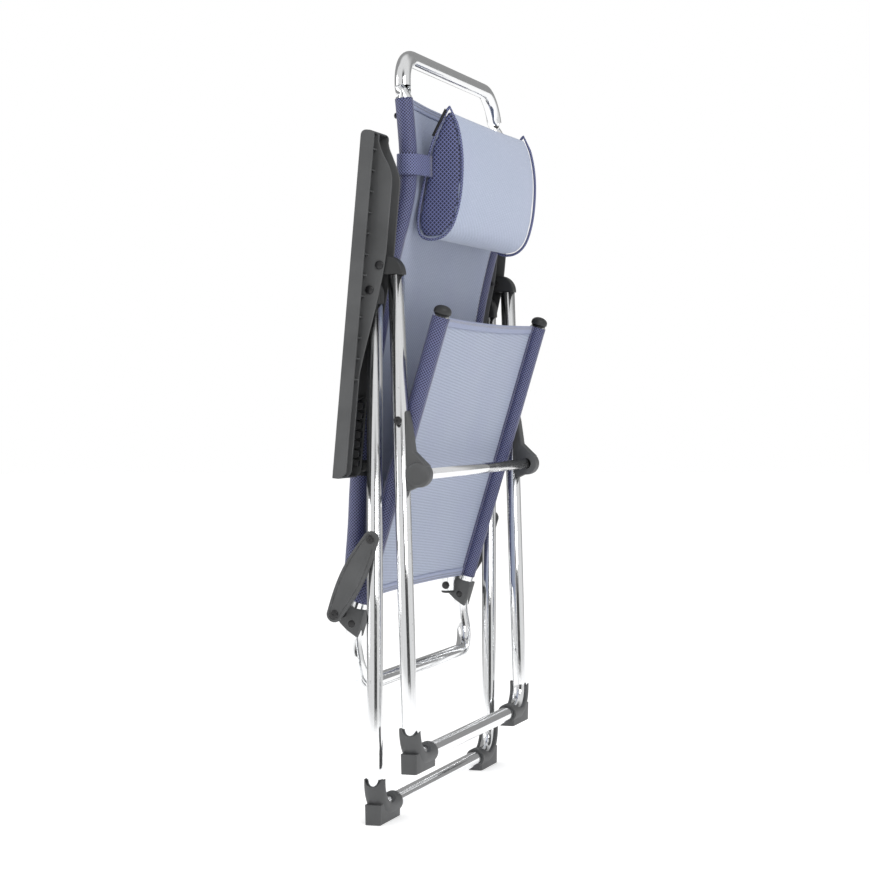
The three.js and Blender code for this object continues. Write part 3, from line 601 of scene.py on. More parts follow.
def carve(base, *tools, operation="DIFFERENCE"):
    """Cuts meshes out of a mesh, or joins them to it, and gives the new mesh."""
    holder = bpy.data.objects.new("carving", base)
    bpy.context.scene.collection.objects.link(holder)
    helpers = []
    for tool in tools:
        helper = bpy.data.objects.new("tool", tool)
        bpy.context.scene.collection.objects.link(helper)
        helpers.append(helper)
        step = holder.modifiers.new("carve", "BOOLEAN")
        step.operation, step.solver, step.object = operation, "EXACT", helper
    bpy.context.view_layer.update()
    shaped = holder.evaluated_get(bpy.context.evaluated_depsgraph_get())
    mesh = bpy.data.meshes.new_from_object(shaped)
    for extra in [holder, *helpers]:
        bpy.data.objects.remove(extra)
    return mesh


def as_mesh(bm):
    bmesh.ops.remove_doubles(bm, verts=bm.verts, dist=1e-6)
    bmesh.ops.recalc_face_normals(bm, faces=bm.faces)
    mesh = bpy.data.meshes.new("stock")
    bm.to_mesh(mesh)
    bm.free()
    return mesh


def as_bmesh(mesh):
    bm = bmesh.new()
    bm.from_mesh(mesh)
    return bm


def finish_pair(name, mesh, material, body, sharp=35, node=None):
    """A right-hand piece and its mirror image on the left."""
    node = node or name
    finish_mesh(name + "_r", mesh.copy(), material, body, [node + "_right"], sharp)
    other = as_bmesh(mesh)
    bmesh.ops.scale(other, vec=(1, -1, 1), verts=other.verts)
    bmesh.ops.reverse_faces(other, faces=other.faces)
    flipped = bpy.data.meshes.new(name)
    other.to_mesh(flipped)
    other.free()
    return finish_mesh(name + "_l", flipped, material, body, [node + "_left"], sharp)


# %% Stock shapes: tube, plate, turned piece
def tube(points, radius, sides=28):
    frames = place_frames(points)
    bm = bmesh.new()
    grain = bm.verts.layers.float_vector.new("grain")
    bmesh.ops.create_circle(bm, cap_ends=False, segments=sides, radius=radius, matrix=frames[0])
    along = 0.0
    for v in bm.verts:
        local = frames[0].inverted() @ v.co
        v[grain] = (local.x, local.y, along)
    for i, verts in enumerate(sweep(bm, list(bm.edges), frames)):
        along += (points[i + 1] - points[i]).length
        for v in verts:
            local = frames[i + 1].inverted() @ v.co
            v[grain] = (local.x, local.y, along)
    return bm


def rod(points, radius, sides=24):
    """A swept bar with closed ends."""
    bm = tube(points, radius, sides)
    bmesh.ops.holes_fill(bm, edges=[e for e in bm.edges if e.is_boundary], sides=0)
    return bm


def plate(outline, y0, y1, bevel=0.0, segments=3):
    """A flat piece with its outline in side view, from y0 to y1 in millimetres, edges rounded."""
    bm = bmesh.new()
    face = bm.faces.new([bm.verts.new(spot(x, z, y0)) for x, z in outline])
    made = bmesh.ops.extrude_face_region(bm, geom=[face])["geom"]
    top = [g for g in made if isinstance(g, bmesh.types.BMVert)]
    bmesh.ops.translate(bm, vec=(0, (y1 - y0) * MM, 0), verts=top)
    if bevel:
        rims = [e for e in bm.edges if abs(e.verts[0].co.y - e.verts[1].co.y) < 1e-7]
        bmesh.ops.bevel(bm, geom=rims, offset=bevel * MM, segments=segments, profile=0.5, affect="EDGES",
                        material=-1, clamp_overlap=True)
    return bm


def turned(x, z, rows, steps=40):
    """A lathe-turned piece along Y, from rows of (y, radius) in millimetres."""
    bm = bmesh.new()
    centre = spot(x, z)
    rows = [(rows[0][0], 0.0), *rows, (rows[-1][0], 0.0)]
    line = [bm.verts.new(centre + Vector((r * MM, y * MM, 0))) for y, r in rows]
    edges = [bm.edges.new(pair) for pair in zip(line, line[1:])]
    bmesh.ops.spin(bm, geom=line + edges, cent=centre, axis=(0, 1, 0), angle=2 * math.pi, steps=steps,
                   use_merge=True)
    return bm


def arc(x, z, radius, start, end, steps):
    turns = [math.radians(start + (end - start) * i / steps) for i in range(steps + 1)]
    return [(x + radius * math.cos(a), z + radius * math.sin(a)) for a in turns]


def pin_hole(x, z, radius, y0, y1):
    return as_mesh(turned(x, z, [(y0, radius), (y1, radius)], 24))


print("stock shapes: tube, rod, plate, turned piece")

# %% [markdown]
# The frame is four tubes of 22 mm and a thinner stretcher bar. A straight takes two rings and a bend
# fourteen, and Solidify gives the wall its 1.4 mm.

# %% Tube sizes
TUBE, WALL = 11.0, 1.4
LEG_Y, RAIL_Y, BACK_Y = 271.0, 247.0, 221.5


def u_frame(side, radius):
    """A U-shaped frame from the path of one side, down to where the cross bar's centre is."""
    corner = side[-1]
    other = Vector((corner.x, -corner.y, corner.z))
    half = side[:-1] + round_corner(corner, side[-2], other, radius * MM)
    return half + [Vector((p.x, -p.y, p.z)) for p in reversed(half)]


def add_tube(name, points, body, radius=TUBE):
    piece = finish_piece(name + "_drawn", tube(points, radius * MM), aluminium, body,
                         [name], 60)
    wall = piece.modifiers.new("wall", "SOLIDIFY")
    wall.thickness, wall.offset, wall.use_rim = WALL * MM, -1.0, True
    return piece


print("tube of", 2 * TUBE, "mm, wall", WALL, "mm")

# %% Leg frames and stretcher
FRONT_BASE_Z, BAR_RISE, LEG_BEND = 71.0, 19.0, 38.0


def front_leg_x(z):
    return 26 - 0.0316 * z


front_bar_z = FRONT_BASE_Z + BAR_RISE
front_line = [spot(front_leg_x(z), z, -LEG_Y) for z in (742, front_bar_z)]
front_path = u_frame(front_line, LEG_BEND)
rear_path = u_frame([spot(-28, z, -LEG_Y) for z in (703, BAR_RISE)], LEG_BEND)
add_tube("front_leg_tube", front_path, "front_leg")
add_tube("rear_leg_tube", rear_path, "rear_leg")
add_tube("stretcher_bar", [spot(35, 474, y) for y in (-268, 268)], "front_leg", 7.8)

# %% [markdown]
# Each foot is an L-shaped shell pushed over a bend, with a flat runner under it and a U notch
# at its outer top. It is one round bar for the shell and one block for the runner, joined,
# with the tube's own path cut out of them and the inside of the bend left open.

# %% Feet
FOOT_REACH, FOOT_RISE = 76.0, 61.0


def foot(path, base_z, leg_x):
    near_half = [p for p in path if p.y < 0]
    bend = near_half[1:]
    top = spot(leg_x(base_z + FOOT_RISE), base_z + FOOT_RISE, -LEG_Y)
    end = bend[-1].copy()
    end.y = (-LEG_Y + FOOT_REACH) * MM
    shell = as_mesh(rod([top, *bend, end], 14.6 * MM, 32))
    bar_x = end.x / MM - MIDDLE_X
    runner = plate([(bar_x - 11, base_z), (bar_x + 11, base_z), (bar_x + 11.6, base_z + BAR_RISE + 8),
                    (bar_x - 11.6, base_z + BAR_RISE + 8)], -LEG_Y - 10, -LEG_Y + FOOT_REACH)
    uprights = [e for e in runner.edges if abs(e.verts[0].co.z - e.verts[1].co.z) > 0.01]
    bmesh.ops.bevel(runner, geom=uprights, offset=3.2 * MM, segments=4, profile=0.5, affect="EDGES",
                    material=-1)
    both = carve(shell, as_mesh(runner), operation="UNION")
    above, beyond = top + (top - bend[0]).normalized() * 0.01, end + Vector((0, 0.01, 0))
    bore = as_mesh(rod([above, *bend, beyond], 11.3 * MM, 32))
    centre_z = base_z + BAR_RISE + LEG_BEND
    mouth = bmesh.new()
    bmesh.ops.create_cone(mouth, cap_ends=True, segments=48, radius1=(LEG_BEND - 5) * MM,
                          radius2=(LEG_BEND - 5) * MM, depth=0.034,
                          matrix=Matrix.Translation(spot(bar_x, centre_z, -LEG_Y + LEG_BEND))
                          @ Matrix.Rotation(math.pi / 2, 4, "Y"))
    notch = bmesh.new()
    bmesh.ops.create_cone(notch, cap_ends=True, segments=40, radius1=11.5 * MM, radius2=11.5 * MM, depth=0.04,
                          matrix=Matrix.Translation(spot(leg_x(0) if base_z else bar_x, base_z + FOOT_RISE + 2,
                                                         -LEG_Y - 12)) @ Matrix.Rotation(math.pi / 2, 4, "X"))
    below = plate([(bar_x - 40, base_z - 30), (bar_x + 40, base_z - 30), (bar_x + 40, base_z),
                   (bar_x - 40, base_z)], -LEG_Y - 40, -LEG_Y + 120)
    return carve(both, bore, as_mesh(mouth), as_mesh(notch), as_mesh(below))


finish_pair("front_foot", foot(front_path, FRONT_BASE_Z, front_leg_x), grey_plastic, "front_leg")
finish_pair("rear_foot", foot(rear_path, 0.0, lambda z: -28.0), grey_plastic, "rear_leg")

# %% [markdown]
# A knuckle plugs the top of each leg. Its rounded tongue turns on a pin inside the armrest.

# %% Knuckles
FRONT_TOP, REAR_TOP = (-16, 755), (-30, 722)


def knuckle(outline, pivot, leg_x, leg_top):
    tongue = as_mesh(plate(outline, -LEG_Y - 10, -LEG_Y + 10, 2.2, 4))
    plug = as_mesh(rod([spot(leg_x(z), z, -LEG_Y) for z in (leg_top + 2, leg_top - 24)], 8.4 * MM))
    return carve(carve(tongue, plug, operation="UNION"), pin_hole(*pivot, 4.4, -LEG_Y - 20, -LEG_Y + 20))


top_x = front_leg_x(742)
finish_pair("front_knuckle", knuckle(
    [(top_x - 11, 742.4), (top_x + 11.5, 742.4), *arc(top_x - 12.5, 744.4, 24, 0, 90, 14),
     *arc(*FRONT_TOP, 12.5, 90, 250, 16)],
    FRONT_TOP, front_leg_x, 742), dark_plastic, "front_leg")
finish_pair("rear_knuckle", knuckle(
    [(-39, 703.4), (-17, 703.4), (-17, 719), *arc(*REAR_TOP, 11.5, 15, 180, 14), (-40, 714)],
    REAR_TOP, lambda z: -28.0, 703), dark_plastic, "rear_leg")

# %% [markdown]
# The stretcher's brackets hug each front leg with a saddle and end in a round knob that
# closes the bar. The knob's face is slightly dished and its rim is rounded.

# %% Stretcher brackets
def bracket():
    fx = front_leg_x
    arm = as_mesh(plate([(fx(558) + 4, 558), (fx(440) - 2, 462), (fx(440) + 10, 452), (35, 458), (49, 486),
                         (fx(505) + 19, 505), (fx(540) + 15, 540), (fx(558) + 11, 560)],
                        -LEG_Y - 7, -LEG_Y + 10.5, 2.2, 4))
    knob = as_mesh(turned(35, 474, [
        (-LEG_Y - 8.2, 9), (-LEG_Y - 8.2, 13), (-LEG_Y - 9, 14.4), (-LEG_Y - 8.6, 16), (-LEG_Y - 7.2, 17.2),
        (-LEG_Y - 5, 17.5), (-LEG_Y + 7.5, 17.5), (-LEG_Y + 10, 16.9), (-LEG_Y + 11, 15.2)], 56))
    saddle = as_mesh(rod([spot(fx(z), z, -LEG_Y) for z in (600, 420)], 11.3 * MM, 32))
    socket = pin_hole(35, 474, 8.1, -268.4, -LEG_Y + 20)
    return carve(carve(arm, knob, operation="UNION"), saddle, socket)


finish_pair("stretcher_bracket", bracket(), grey_plastic, "front_leg")

# %% [markdown]
# Bolts and screws are turned, then given a hexagon socket with a small cut.

# %% Bolts and screws
def socket_screw(x, z, rows, face_y, socket_radius, depth):
    body = as_mesh(turned(x, z, rows, 36))
    hexagon = as_mesh(turned(x, z, [(face_y - 1, socket_radius), (face_y + depth, socket_radius)], 6))
    return carve(body, hexagon)


bolt_face = -LEG_Y - TUBE - 3.6
finish_pair("seat_pivot_bolt", socket_screw(9, 546.5, [
    (bolt_face, 3.2), (bolt_face + 0.3, 4.6), (bolt_face + 1.2, 5.6), (bolt_face + 2.4, 5.8),
    (bolt_face + 3.0, 5.8), (bolt_face + 3.1, 3), (-RAIL_Y + 11.6, 3)],
    bolt_face, 2.0, 1.6), black_coat, "front_leg")

# %% [markdown]
# The seat tube runs down both sides of the seat and closes in a wide loop behind the hinge.

# %% Seat tube and caps
RAIL_FRONT, RAIL_REAR = Vector((59.6, 690)), Vector((-65, 271.3))
rail_run = (RAIL_FRONT - RAIL_REAR).normalized()
RAIL_LENGTH = (RAIL_FRONT - RAIL_REAR).length


def rail_point(along, across=0.0):
    return (RAIL_REAR.x + rail_run.x * along + rail_run.y * across,
            RAIL_REAR.y + rail_run.y * along - rail_run.x * across)


loop = [Vector((-65, 271.3)), Vector((-66.5, 262)), Vector((-67, 250)), Vector((-66, 236)), Vector((-64, 224))]
loop_side = [spot(*RAIL_FRONT, -RAIL_Y)] + [
    spot(p.x, p.y, -RAIL_Y) for p in smooth_line([Vector(rail_point(14)), *loop], 4)]
run = (loop_side[-1] - loop_side[-2]).normalized()
loop_side.append(loop_side[-1] + run * 0.042)
add_tube("seat_tube", u_frame(loop_side, 42), "seat")

cap = bmesh.new()
profile = [(0, -20), (8.4, -20), (8.4, 0.4), (12.0, 0.4), (12.3, 1.2), (12.3, 4.6), (11.6, 6.8),
           (10, 8.8), (7.6, 10.4), (4.4, 11.6), (0, 12.1)]
line = [cap.verts.new((r * MM, 0, z * MM)) for r, z in profile]
edges = [cap.edges.new(pair) for pair in zip(line, line[1:])]
bmesh.ops.spin(cap, geom=line + edges, cent=(0, 0, 0), axis=(0, 0, 1), angle=2 * math.pi, steps=40,
               use_merge=True)
bmesh.ops.transform(cap, matrix=Matrix.Translation(spot(*RAIL_FRONT, -RAIL_Y))
                    @ Matrix.Rotation(math.atan2(rail_run.x, rail_run.y), 4, "Y"), verts=cap.verts)
finish_pair("seat_rail_cap", as_mesh(cap), dark_plastic, "seat")

# %% [markdown]
# Fan-shaped housings, riveted round the rear ends of the rails, carry the pin on which the
# backrest and the links turn.

# %% Hinge housings, pins and links
HINGE, LINK_TOP = (-80, 284.5), (-28, 387)
HOUSING_Y, PLATE_Y0 = -RAIL_Y - TUBE - 1.7, -RAIL_Y + TUBE + 0.3
PLATE_Y1 = PLATE_Y0 + 2.6
RIVET = rail_point(-2)
fan = [rail_point(*corner) for corner in (
    (20, 12.5), (20, -12), (15, -25), (8, -30.4), (1, -25.5), (-6.5, -16), (-12.5, -4.5), (-16.5, 8),
    (-17.5, 12.5))]
tube_bore = as_mesh(rod(loop_side[1:-1], (TUBE + 0.35) * MM))
finish_pair("hinge_plate", carve(as_mesh(plate(fan, HOUSING_Y, PLATE_Y1, 0.8, 3)), tube_bore,
                                 pin_hole(*HINGE, 7.0, HOUSING_Y - 5, PLATE_Y0),
                                 pin_hole(*HINGE, 4.4, -300, -200),
                                 pin_hole(*RIVET, 2.6, -300, -200),
                                 pin_hole(*RIVET, 5, HOUSING_Y - 5, HOUSING_Y + 0.9),
                                 pin_hole(*RIVET, 5, PLATE_Y1 - 1.4, PLATE_Y1 + 5)),
            grey_plastic, "seat")
finish_pair("hinge_plate_rivet", as_mesh(turned(*RIVET, [
    (HOUSING_Y, 3.4), (HOUSING_Y + 0.2, 4.4), (HOUSING_Y + 0.6, 4.6), (HOUSING_Y + 0.6, 2.2),
    (PLATE_Y1 - 1.1, 2.2), (PLATE_Y1 - 1.1, 4.6), (PLATE_Y1 - 0.3, 4.4), (PLATE_Y1, 3.4)], 32)),
    black_coat, "seat")

LINK_INNER, LINK_OUTER = -LEG_Y - TUBE - 1.5, -LEG_Y - TUBE - 7.5
link_run = (Vector(LINK_TOP) - Vector(HINGE))
link_length = link_run.length
link_run.normalize()


def link_point(along, across):
    return (HINGE[0] + link_run.x * along - link_run.y * across,
            HINGE[1] + link_run.y * along + link_run.x * across)


def leaf(inset, steps=20):
    end, belly = 11 - inset, 17.5 - inset
    rows = [link_point(link_length + end * math.cos(a), end * math.sin(a))
            for a in (math.radians(-90 + 180 * i / 10) for i in range(11))]
    rows += [link_point(link_length * (1 - i / steps), end + (belly - end) * math.sin(math.pi * i / steps))
             for i in range(1, steps)]
    rows += [link_point(end * math.cos(a), end * math.sin(a))
             for a in (math.radians(90 + 180 * i / 10) for i in range(11))]
    rows += [link_point(link_length * i / steps, -end - (belly - end) * math.sin(math.pi * i / steps))
             for i in range(1, steps)]
    return rows


panel_cut = as_mesh(plate(leaf(3.4), LINK_OUTER - 5, LINK_OUTER + 0.9))
panel_again = as_mesh(plate(leaf(5.0), LINK_OUTER + 0.2, LINK_OUTER + 3, 0.5, 2))
link = carve(as_mesh(plate(leaf(0), LINK_OUTER, LINK_INNER, 1.1, 4)), panel_cut)
link = carve(link, panel_again, operation="UNION")
finish_pair("link", carve(link, pin_hole(*HINGE, 4.4, LINK_OUTER - 5, LINK_INNER + 5),
                          pin_hole(*LINK_TOP, 3.4, LINK_OUTER - 5, LINK_INNER + 5)),
            grey_plastic, "links")
finish_pair("link_screw", socket_screw(*LINK_TOP, [
    (LINK_OUTER - 1.6, 3.4), (LINK_OUTER - 1.2, 4.8), (LINK_OUTER - 0.4, 5.6), (LINK_OUTER - 0.1, 5.8),
    (LINK_OUTER - 0.1, 3), (LINK_INNER + 0.8, 3)],
    LINK_OUTER - 1.6, 2.0, 1.2), black_coat, "links")
pin_end = -BACK_Y + TUBE
finish_pair("hinge_pin", socket_screw(*HINGE, [
    (LINK_OUTER - 2.6, 3.6), (LINK_OUTER - 2.3, 4.8), (LINK_OUTER - 1.4, 5.8), (LINK_OUTER - 0.3, 6),
    (LINK_OUTER - 0.3, 4), (pin_end + 0.3, 4), (pin_end + 0.3, 6), (pin_end + 1.6, 6), (pin_end + 2.6, 4.2)],
    LINK_OUTER - 2.6, 2.0, 1.6), black_coat, "back_hinge")

# %% [markdown]
# The backrest tube bends three times in side view, for the small of the back, the shoulders
# and the head, and closes in the carrying handle at the top.

# %% Backrest tube
BACK_LINE = [(-80, 276), (-80, 284.5), (-78.5, 315), (-76, 350), (-72, 400), (-68.5, 466), (-61, 540),
             (-48, 620), (-31.8, 716), (-16, 786), (-6.5, 822), (1.5, 860), (3.2, 890), (2.8, 917),
             (-0.7, 960), (-4.2, 996)]
back_curve = smooth_line([Vector(p) for p in BACK_LINE], 4)
back_side = [spot(p.x, p.y, -BACK_Y) for p in back_curve]
run = (back_side[-1] - back_side[-2]).normalized()
back_side.append(back_side[-1] + run * 0.050)
add_tube("back_tube", u_frame(back_side, 50), "backrest")


def back_x(z):
    """The backrest tube's x at a height, in millimetres."""
    for a, b in zip(back_curve, back_curve[1:]):
        if a.y <= z <= b.y:
            return a.x + (b.x - a.x) * (z - a.y) / (b.y - a.y)
    return back_curve[-1].x


side_length = sum((b - a).length for a, b in zip(back_curve, back_curve[1:]))
print("backrest tube is", round(side_length), "mm along a side")

# %% [markdown]
# The armrests are moulded shells, open towards the frame. Folded, their open side shows: an
# outer channel crossed by twelve thin ribs, a middle wall, and a deeper inner wall whose edge
# runs in a wave. `arm_point` measures along an armrest from its rear end, and in from its top.

# %% Armrest outlines
ARM_ANGLE, ARM_LENGTH, ARM_SKIRT = math.radians(84.92), 468.0, 19.0
ARM_OUTSIDE, ARM_INSIDE = -306.0, -243.5
OUTER_WALL, INNER_WALL, SKIN = (-285.6, -282.9), (-246.2, ARM_INSIDE), 3.0


def arm_point(u, v):
    return (-76.4 + u * math.cos(ARM_ANGLE) + v * math.sin(ARM_ANGLE),
            469 + u * math.sin(ARM_ANGLE) - v * math.cos(ARM_ANGLE))


def arm_plate(rows, y0, y1, bevel=0.0, segments=3):
    return plate([arm_point(u, v) for u, v in rows], y0, y1, bevel, segments)


def arm_block(u0, u1, v0, v1, y0, y1, bevel=0.0):
    return as_mesh(arm_plate([(u0, v0), (u1, v0), (u1, v1), (u0, v1)], y0, y1, bevel, 2))


def rounded(rows, radius, steps=5):
    """An outline with its corners rounded."""
    points = [Vector((u, v, 0)) for u, v in rows]
    line = []
    for i, corner in enumerate(points):
        before, after = points[i - 1], points[(i + 1) % len(points)]
        if (corner - before).angle(after - corner) < 0.12:
            line.append((corner.x, corner.y))
            continue
        room = 0.45 * min((corner - before).length, (after - corner).length)
        bend = (corner - before).angle(after - corner)
        fit = min(radius, room / math.tan(bend / 2))
        line += [(p.x, p.y) for p in round_corner(corner, before, after, fit, steps)]
    return line


def wave_wall(most):
    """The deep edge of a wall: a shallow tail, a long rise and a bulge near the top."""
    edge = [(8, ARM_SKIRT - 2), (60, 17), (108, 17), (140, 19), (180, 25), (220, 32), (256, most - 5),
            (297, most - 0.5), (352, most), (398, most), (411, most - 1.5), (423, most - 6), (438, 27),
            (450, 21), (464, 17)]
    smooth = smooth_line([Vector(p) for p in edge], 5)
    return [(ARM_LENGTH - 4, 2), (4, 2), *[(p.x, p.y) for p in smooth]]


skirt = rounded([(2, 0), (ARM_LENGTH, 0), (ARM_LENGTH, ARM_SKIRT), (8, ARM_SKIRT), (0, ARM_SKIRT - 8),
                 (0, 0)], 7)
print("armrest skirt has", len(skirt), "corners")

# %% Armrests
def armrest():
    shell = as_mesh(arm_plate(skirt, ARM_OUTSIDE, ARM_INSIDE, 2.4, 5))
    pockets = [arm_block(SKIN, ARM_LENGTH - SKIN, SKIN, 60, ARM_OUTSIDE + SKIN, OUTER_WALL[0]),
               arm_block(SKIN, ARM_LENGTH - SKIN, SKIN, 60, OUTER_WALL[1], INNER_WALL[0])]
    shell = carve(shell, *pockets)
    walls = [as_mesh(arm_plate(wave_wall(42.5), *OUTER_WALL, 0.7, 3)),
             as_mesh(arm_plate(wave_wall(40.5), *INNER_WALL, 0.8, 3))]
    ribs = []
    for i in range(12):
        u = ARM_LENGTH - 24.5 - 28.1 * i
        ribs.append(as_mesh(arm_plate(
            [(u - 0.9, SKIN - 0.6), (u + 0.9, SKIN - 0.6), (u + 0.8, ARM_SKIRT - 1.2),
             (u - 0.8, ARM_SKIRT - 1.2)],
            ARM_OUTSIDE + SKIN - 0.6, OUTER_WALL[0] + 0.6)))
    shell = carve(shell, *walls, *ribs, operation="UNION")
    holes = [pin_hole(*FRONT_TOP, 4.4, ARM_OUTSIDE + 5, -200), pin_hole(*REAR_TOP, 4.4, ARM_OUTSIDE + 5, -200)]
    return carve(shell, *holes)


finish_pair("armrest", armrest(), grey_plastic, "armrests", 30)

# %% [markdown]
# Under the rear end of each armrest is the rack. Its notches catch a pin on the backrest's
# collar, one notch for each reclining position.

# %% Racks, pins and collars
teeth = [(16, 3.4)]
for i in range(7):
    u = 16 + 13 * i
    teeth += [(u, 16.4), (u + 0.8, 17), (u + 7.2, 17), (u + 8.2, 16.4), (u + 10, 8)]
teeth += [(111, 17), (111, 3.4)]
finish_pair("recline_rack", as_mesh(arm_plate(teeth, INNER_WALL[0] - 8.3, INNER_WALL[0] - 0.3, 0.5, 2)),
            dark_plastic, "armrests")
for name, pivot in (("front_leg_pin", FRONT_TOP), ("rear_leg_pin", REAR_TOP)):
    finish_pair(name, as_mesh(turned(*pivot, [
        (OUTER_WALL[0] - 2.4, 4.4), (OUTER_WALL[0] - 1.9, 5.4), (OUTER_WALL[0] - 1.2, 5.8),
        (OUTER_WALL[0] - 0.3, 5.8), (OUTER_WALL[0] - 0.3, 4), (INNER_WALL[1] + 1.2, 4),
        (INNER_WALL[1] + 2.2, 3)], 32)), black_coat, "armrests")

COLLAR_Z = 482
collar_x = back_x(COLLAR_Z)
lean = (back_x(COLLAR_Z + 10) - back_x(COLLAR_Z - 10)) / 20


def along_collar(reach):
    return [spot(collar_x + lean * dz, COLLAR_Z + dz, -BACK_Y) for dz in (-reach, reach)]


collar = as_mesh(rod(along_collar(11), 15.2 * MM, 40))
peg = as_mesh(turned(collar_x + 12, COLLAR_Z, [(-BACK_Y - 19, 4.6), (-BACK_Y - 18.2, 5.7), (-BACK_Y - 17, 6),
                                               (-BACK_Y - 4, 6)], 28))
open_side = plate([(collar_x - 30, COLLAR_Z - 20), (collar_x + 30, COLLAR_Z - 20),
                   (collar_x + 30, COLLAR_Z + 20), (collar_x - 30, COLLAR_Z + 20)],
                  -BACK_Y + 9, -BACK_Y + 30)
collar_bore = as_mesh(rod(along_collar(14), 12.9 * MM, 40))
collar = carve(carve(collar, peg, operation="UNION"), collar_bore, as_mesh(open_side))
finish_pair("recline_collar", collar, dark_plastic, "backrest")

# %% [markdown]
# Some small pieces have the right shape in the frame already, so they only take a finish.

# %% Finishes for pieces kept as they are
kept = {"back_tube_plug": dark_plastic, "sleeve_screw": black_coat, "hinge_spacer": dark_plastic}
for node, material in kept.items():
    for side in ("_right", "_left"):
        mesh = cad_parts[node + side].data
        mesh.materials.clear()
        mesh.materials.append(material)
print("kept", 2 * len(kept), "small pieces")

# %% [markdown]
# A sling is one cloth. From its sewn edge it goes round a tube, crosses the chair as the
# panel, and goes round the other tube. Its section is drawn once, with a cloth map that
# counts metres along the cloth, and is carried along the tubes. The panel is slack when the
# chair is folded, so it hollows a little and its ends dip.

# %% Sling section
SLEEVE, TAIL, SEAM = 11.9, 20.0, 17.0


def sling_section(half_width, lift, tail=TAIL):
    """Points (away from the tubes' plane, across) in millimetres, from one sewn edge to the other."""
    side = 1 if lift > 0 else -1
    lean = math.acos(lift / SLEEVE)
    start = math.pi + lean
    rows = []
    under = lift - side * 1.4
    first_y = -half_width + math.sqrt(SLEEVE ** 2 - under ** 2)
    for i in range(5):
        rows.append((under, -half_width + tail + (first_y - (-half_width + tail)) * i / 4))
    begin = math.atan2(first_y + half_width, under)
    finish = math.atan2(math.sqrt(SLEEVE ** 2 - lift ** 2), lift)
    turn = -side * (2 * math.pi - abs(finish - begin))
    for i in range(1, 33):
        a = begin + turn * i / 33
        rows.append((SLEEVE * math.cos(a), -half_width + SLEEVE * math.sin(a)))
    last_y = -half_width + math.sqrt(SLEEVE ** 2 - lift ** 2)
    rows += [(lift, last_y + (0 - last_y) * i / 30) for i in range(31)]
    return rows + [(x, -y) for x, y in reversed(rows[:-1])]


def slacken(v, along, total, half_width, lift, hollow, dip):
    """Lets a point of the panel hollow and ripple, and dip at the ends. The sleeves stay put."""
    share = v.co.y / ((half_width - SLEEVE) * MM)
    slack = 1 - share * share
    if slack <= 0:
        return
    t = along / total
    ripple = noise.noise((v.co.y * 9, along * 7, lift)) * 0.0016 * min(1, 4 * slack)
    v.co.x += ripple - hollow * slack * (0.4 + 0.6 * math.sin(math.pi * t))
    v.co.z += dip * slack * (1 - 2 * t)


def finish_cloth(name, bm, cloth, material, body, stands_for, thickness):
    """Turns the counted metres into the cloth map, and gives the cloth its thickness."""
    uv = bm.loops.layers.uv.new("cloth")
    for face in bm.faces:
        for corner in face.loops:
            corner[uv].uv = corner.vert[cloth].xy
    mesh = bpy.data.meshes.new(name)
    bm.to_mesh(mesh)
    bm.free()
    piece = finish_mesh(name, mesh, material, body, stands_for, 60)
    thick = piece.modifiers.new("thickness", "SOLIDIFY")
    thick.thickness, thick.offset = thickness, 0.0
    return piece


def make_sling(name, line, half_width, lift, hollow, dip, material, body):
    rows = sling_section(half_width, lift)
    frames = place_frames(line, across=Vector((0, 1, 0)))
    lengths = [0.0]
    for a, b in zip(rows, rows[1:]):
        lengths.append(lengths[-1] + math.dist(a, b) * MM)
    middle = lengths[-1] / 2
    bm = bmesh.new()
    cloth = bm.verts.layers.float_vector.new("cloth_place")
    strip = []
    for (x, y), reached in zip(rows, lengths):
        v = bm.verts.new(frames[0] @ Vector((x * MM, y * MM, 0)))
        v[cloth] = (reached - middle, 0, 0)
        strip.append(v)
    edges = [bm.edges.new(pair) for pair in zip(strip, strip[1:])]
    along = 0.0
    for i, verts in enumerate(sweep(bm, edges, frames)):
        along += (line[i + 1] - line[i]).length
        for v in verts:
            v[cloth] = (v[cloth].x, along, 0)
    total = along
    for v in bm.verts:
        slacken(v, v[cloth].y, total, half_width, lift, hollow, dip)
    if lift > 0:
        bmesh.ops.reverse_faces(bm, faces=bm.faces)
    piece = finish_cloth(name + "_cloth", bm, cloth, material, body, [name], 0.0008)
    print(name, "is cut to", round(2 * middle, 4), "by", round(total, 4), "m")
    return piece, (round(2 * middle, 4), round(total, 4))


HEM_DEPTH, HEM_STEPS = 0.013, 5


def make_hem(name, line, half_width, lift, hollow, dip, ends, material, body, face):
    """A folded edge: a strip on the cloth's face, between the sleeves, at one end of a sling."""
    total = sum((b - a).length for a, b in zip(line, line[1:]))
    frames = place_frames(line, across=Vector((0, 1, 0)))
    reach = (half_width - SEAM) * MM
    bm = bmesh.new()
    cloth = bm.verts.layers.float_vector.new("cloth_place")
    strip = []
    at_end = frames[-1] if ends else frames[0]
    into = -1 if ends else 1
    for i in range(61):
        y = -reach + 2 * reach * i / 60
        v = bm.verts.new(at_end @ Vector((lift * MM + face * 0.0010, y, into * -0.0006)))
        v[cloth] = (y, 0, 0)
        strip.append(v)
    edges = [bm.edges.new(pair) for pair in zip(strip, strip[1:])]
    step = at_end.to_3x3() @ Vector((0, 0, into * HEM_DEPTH / HEM_STEPS))
    drawn = [Matrix.Translation(step * i) for i in range(HEM_STEPS + 1)]
    for i, verts in enumerate(sweep(bm, edges, drawn)):
        for v in verts:
            v[cloth] = (v[cloth].x, (i + 1) * HEM_DEPTH / HEM_STEPS, 0)
    for v in bm.verts:
        depth = v[cloth].y
        slacken(v, total - depth if ends else depth, total, half_width, lift, hollow, dip)
    piece = finish_cloth(name, bm, cloth, material, body, (), 0.0009)
    return piece


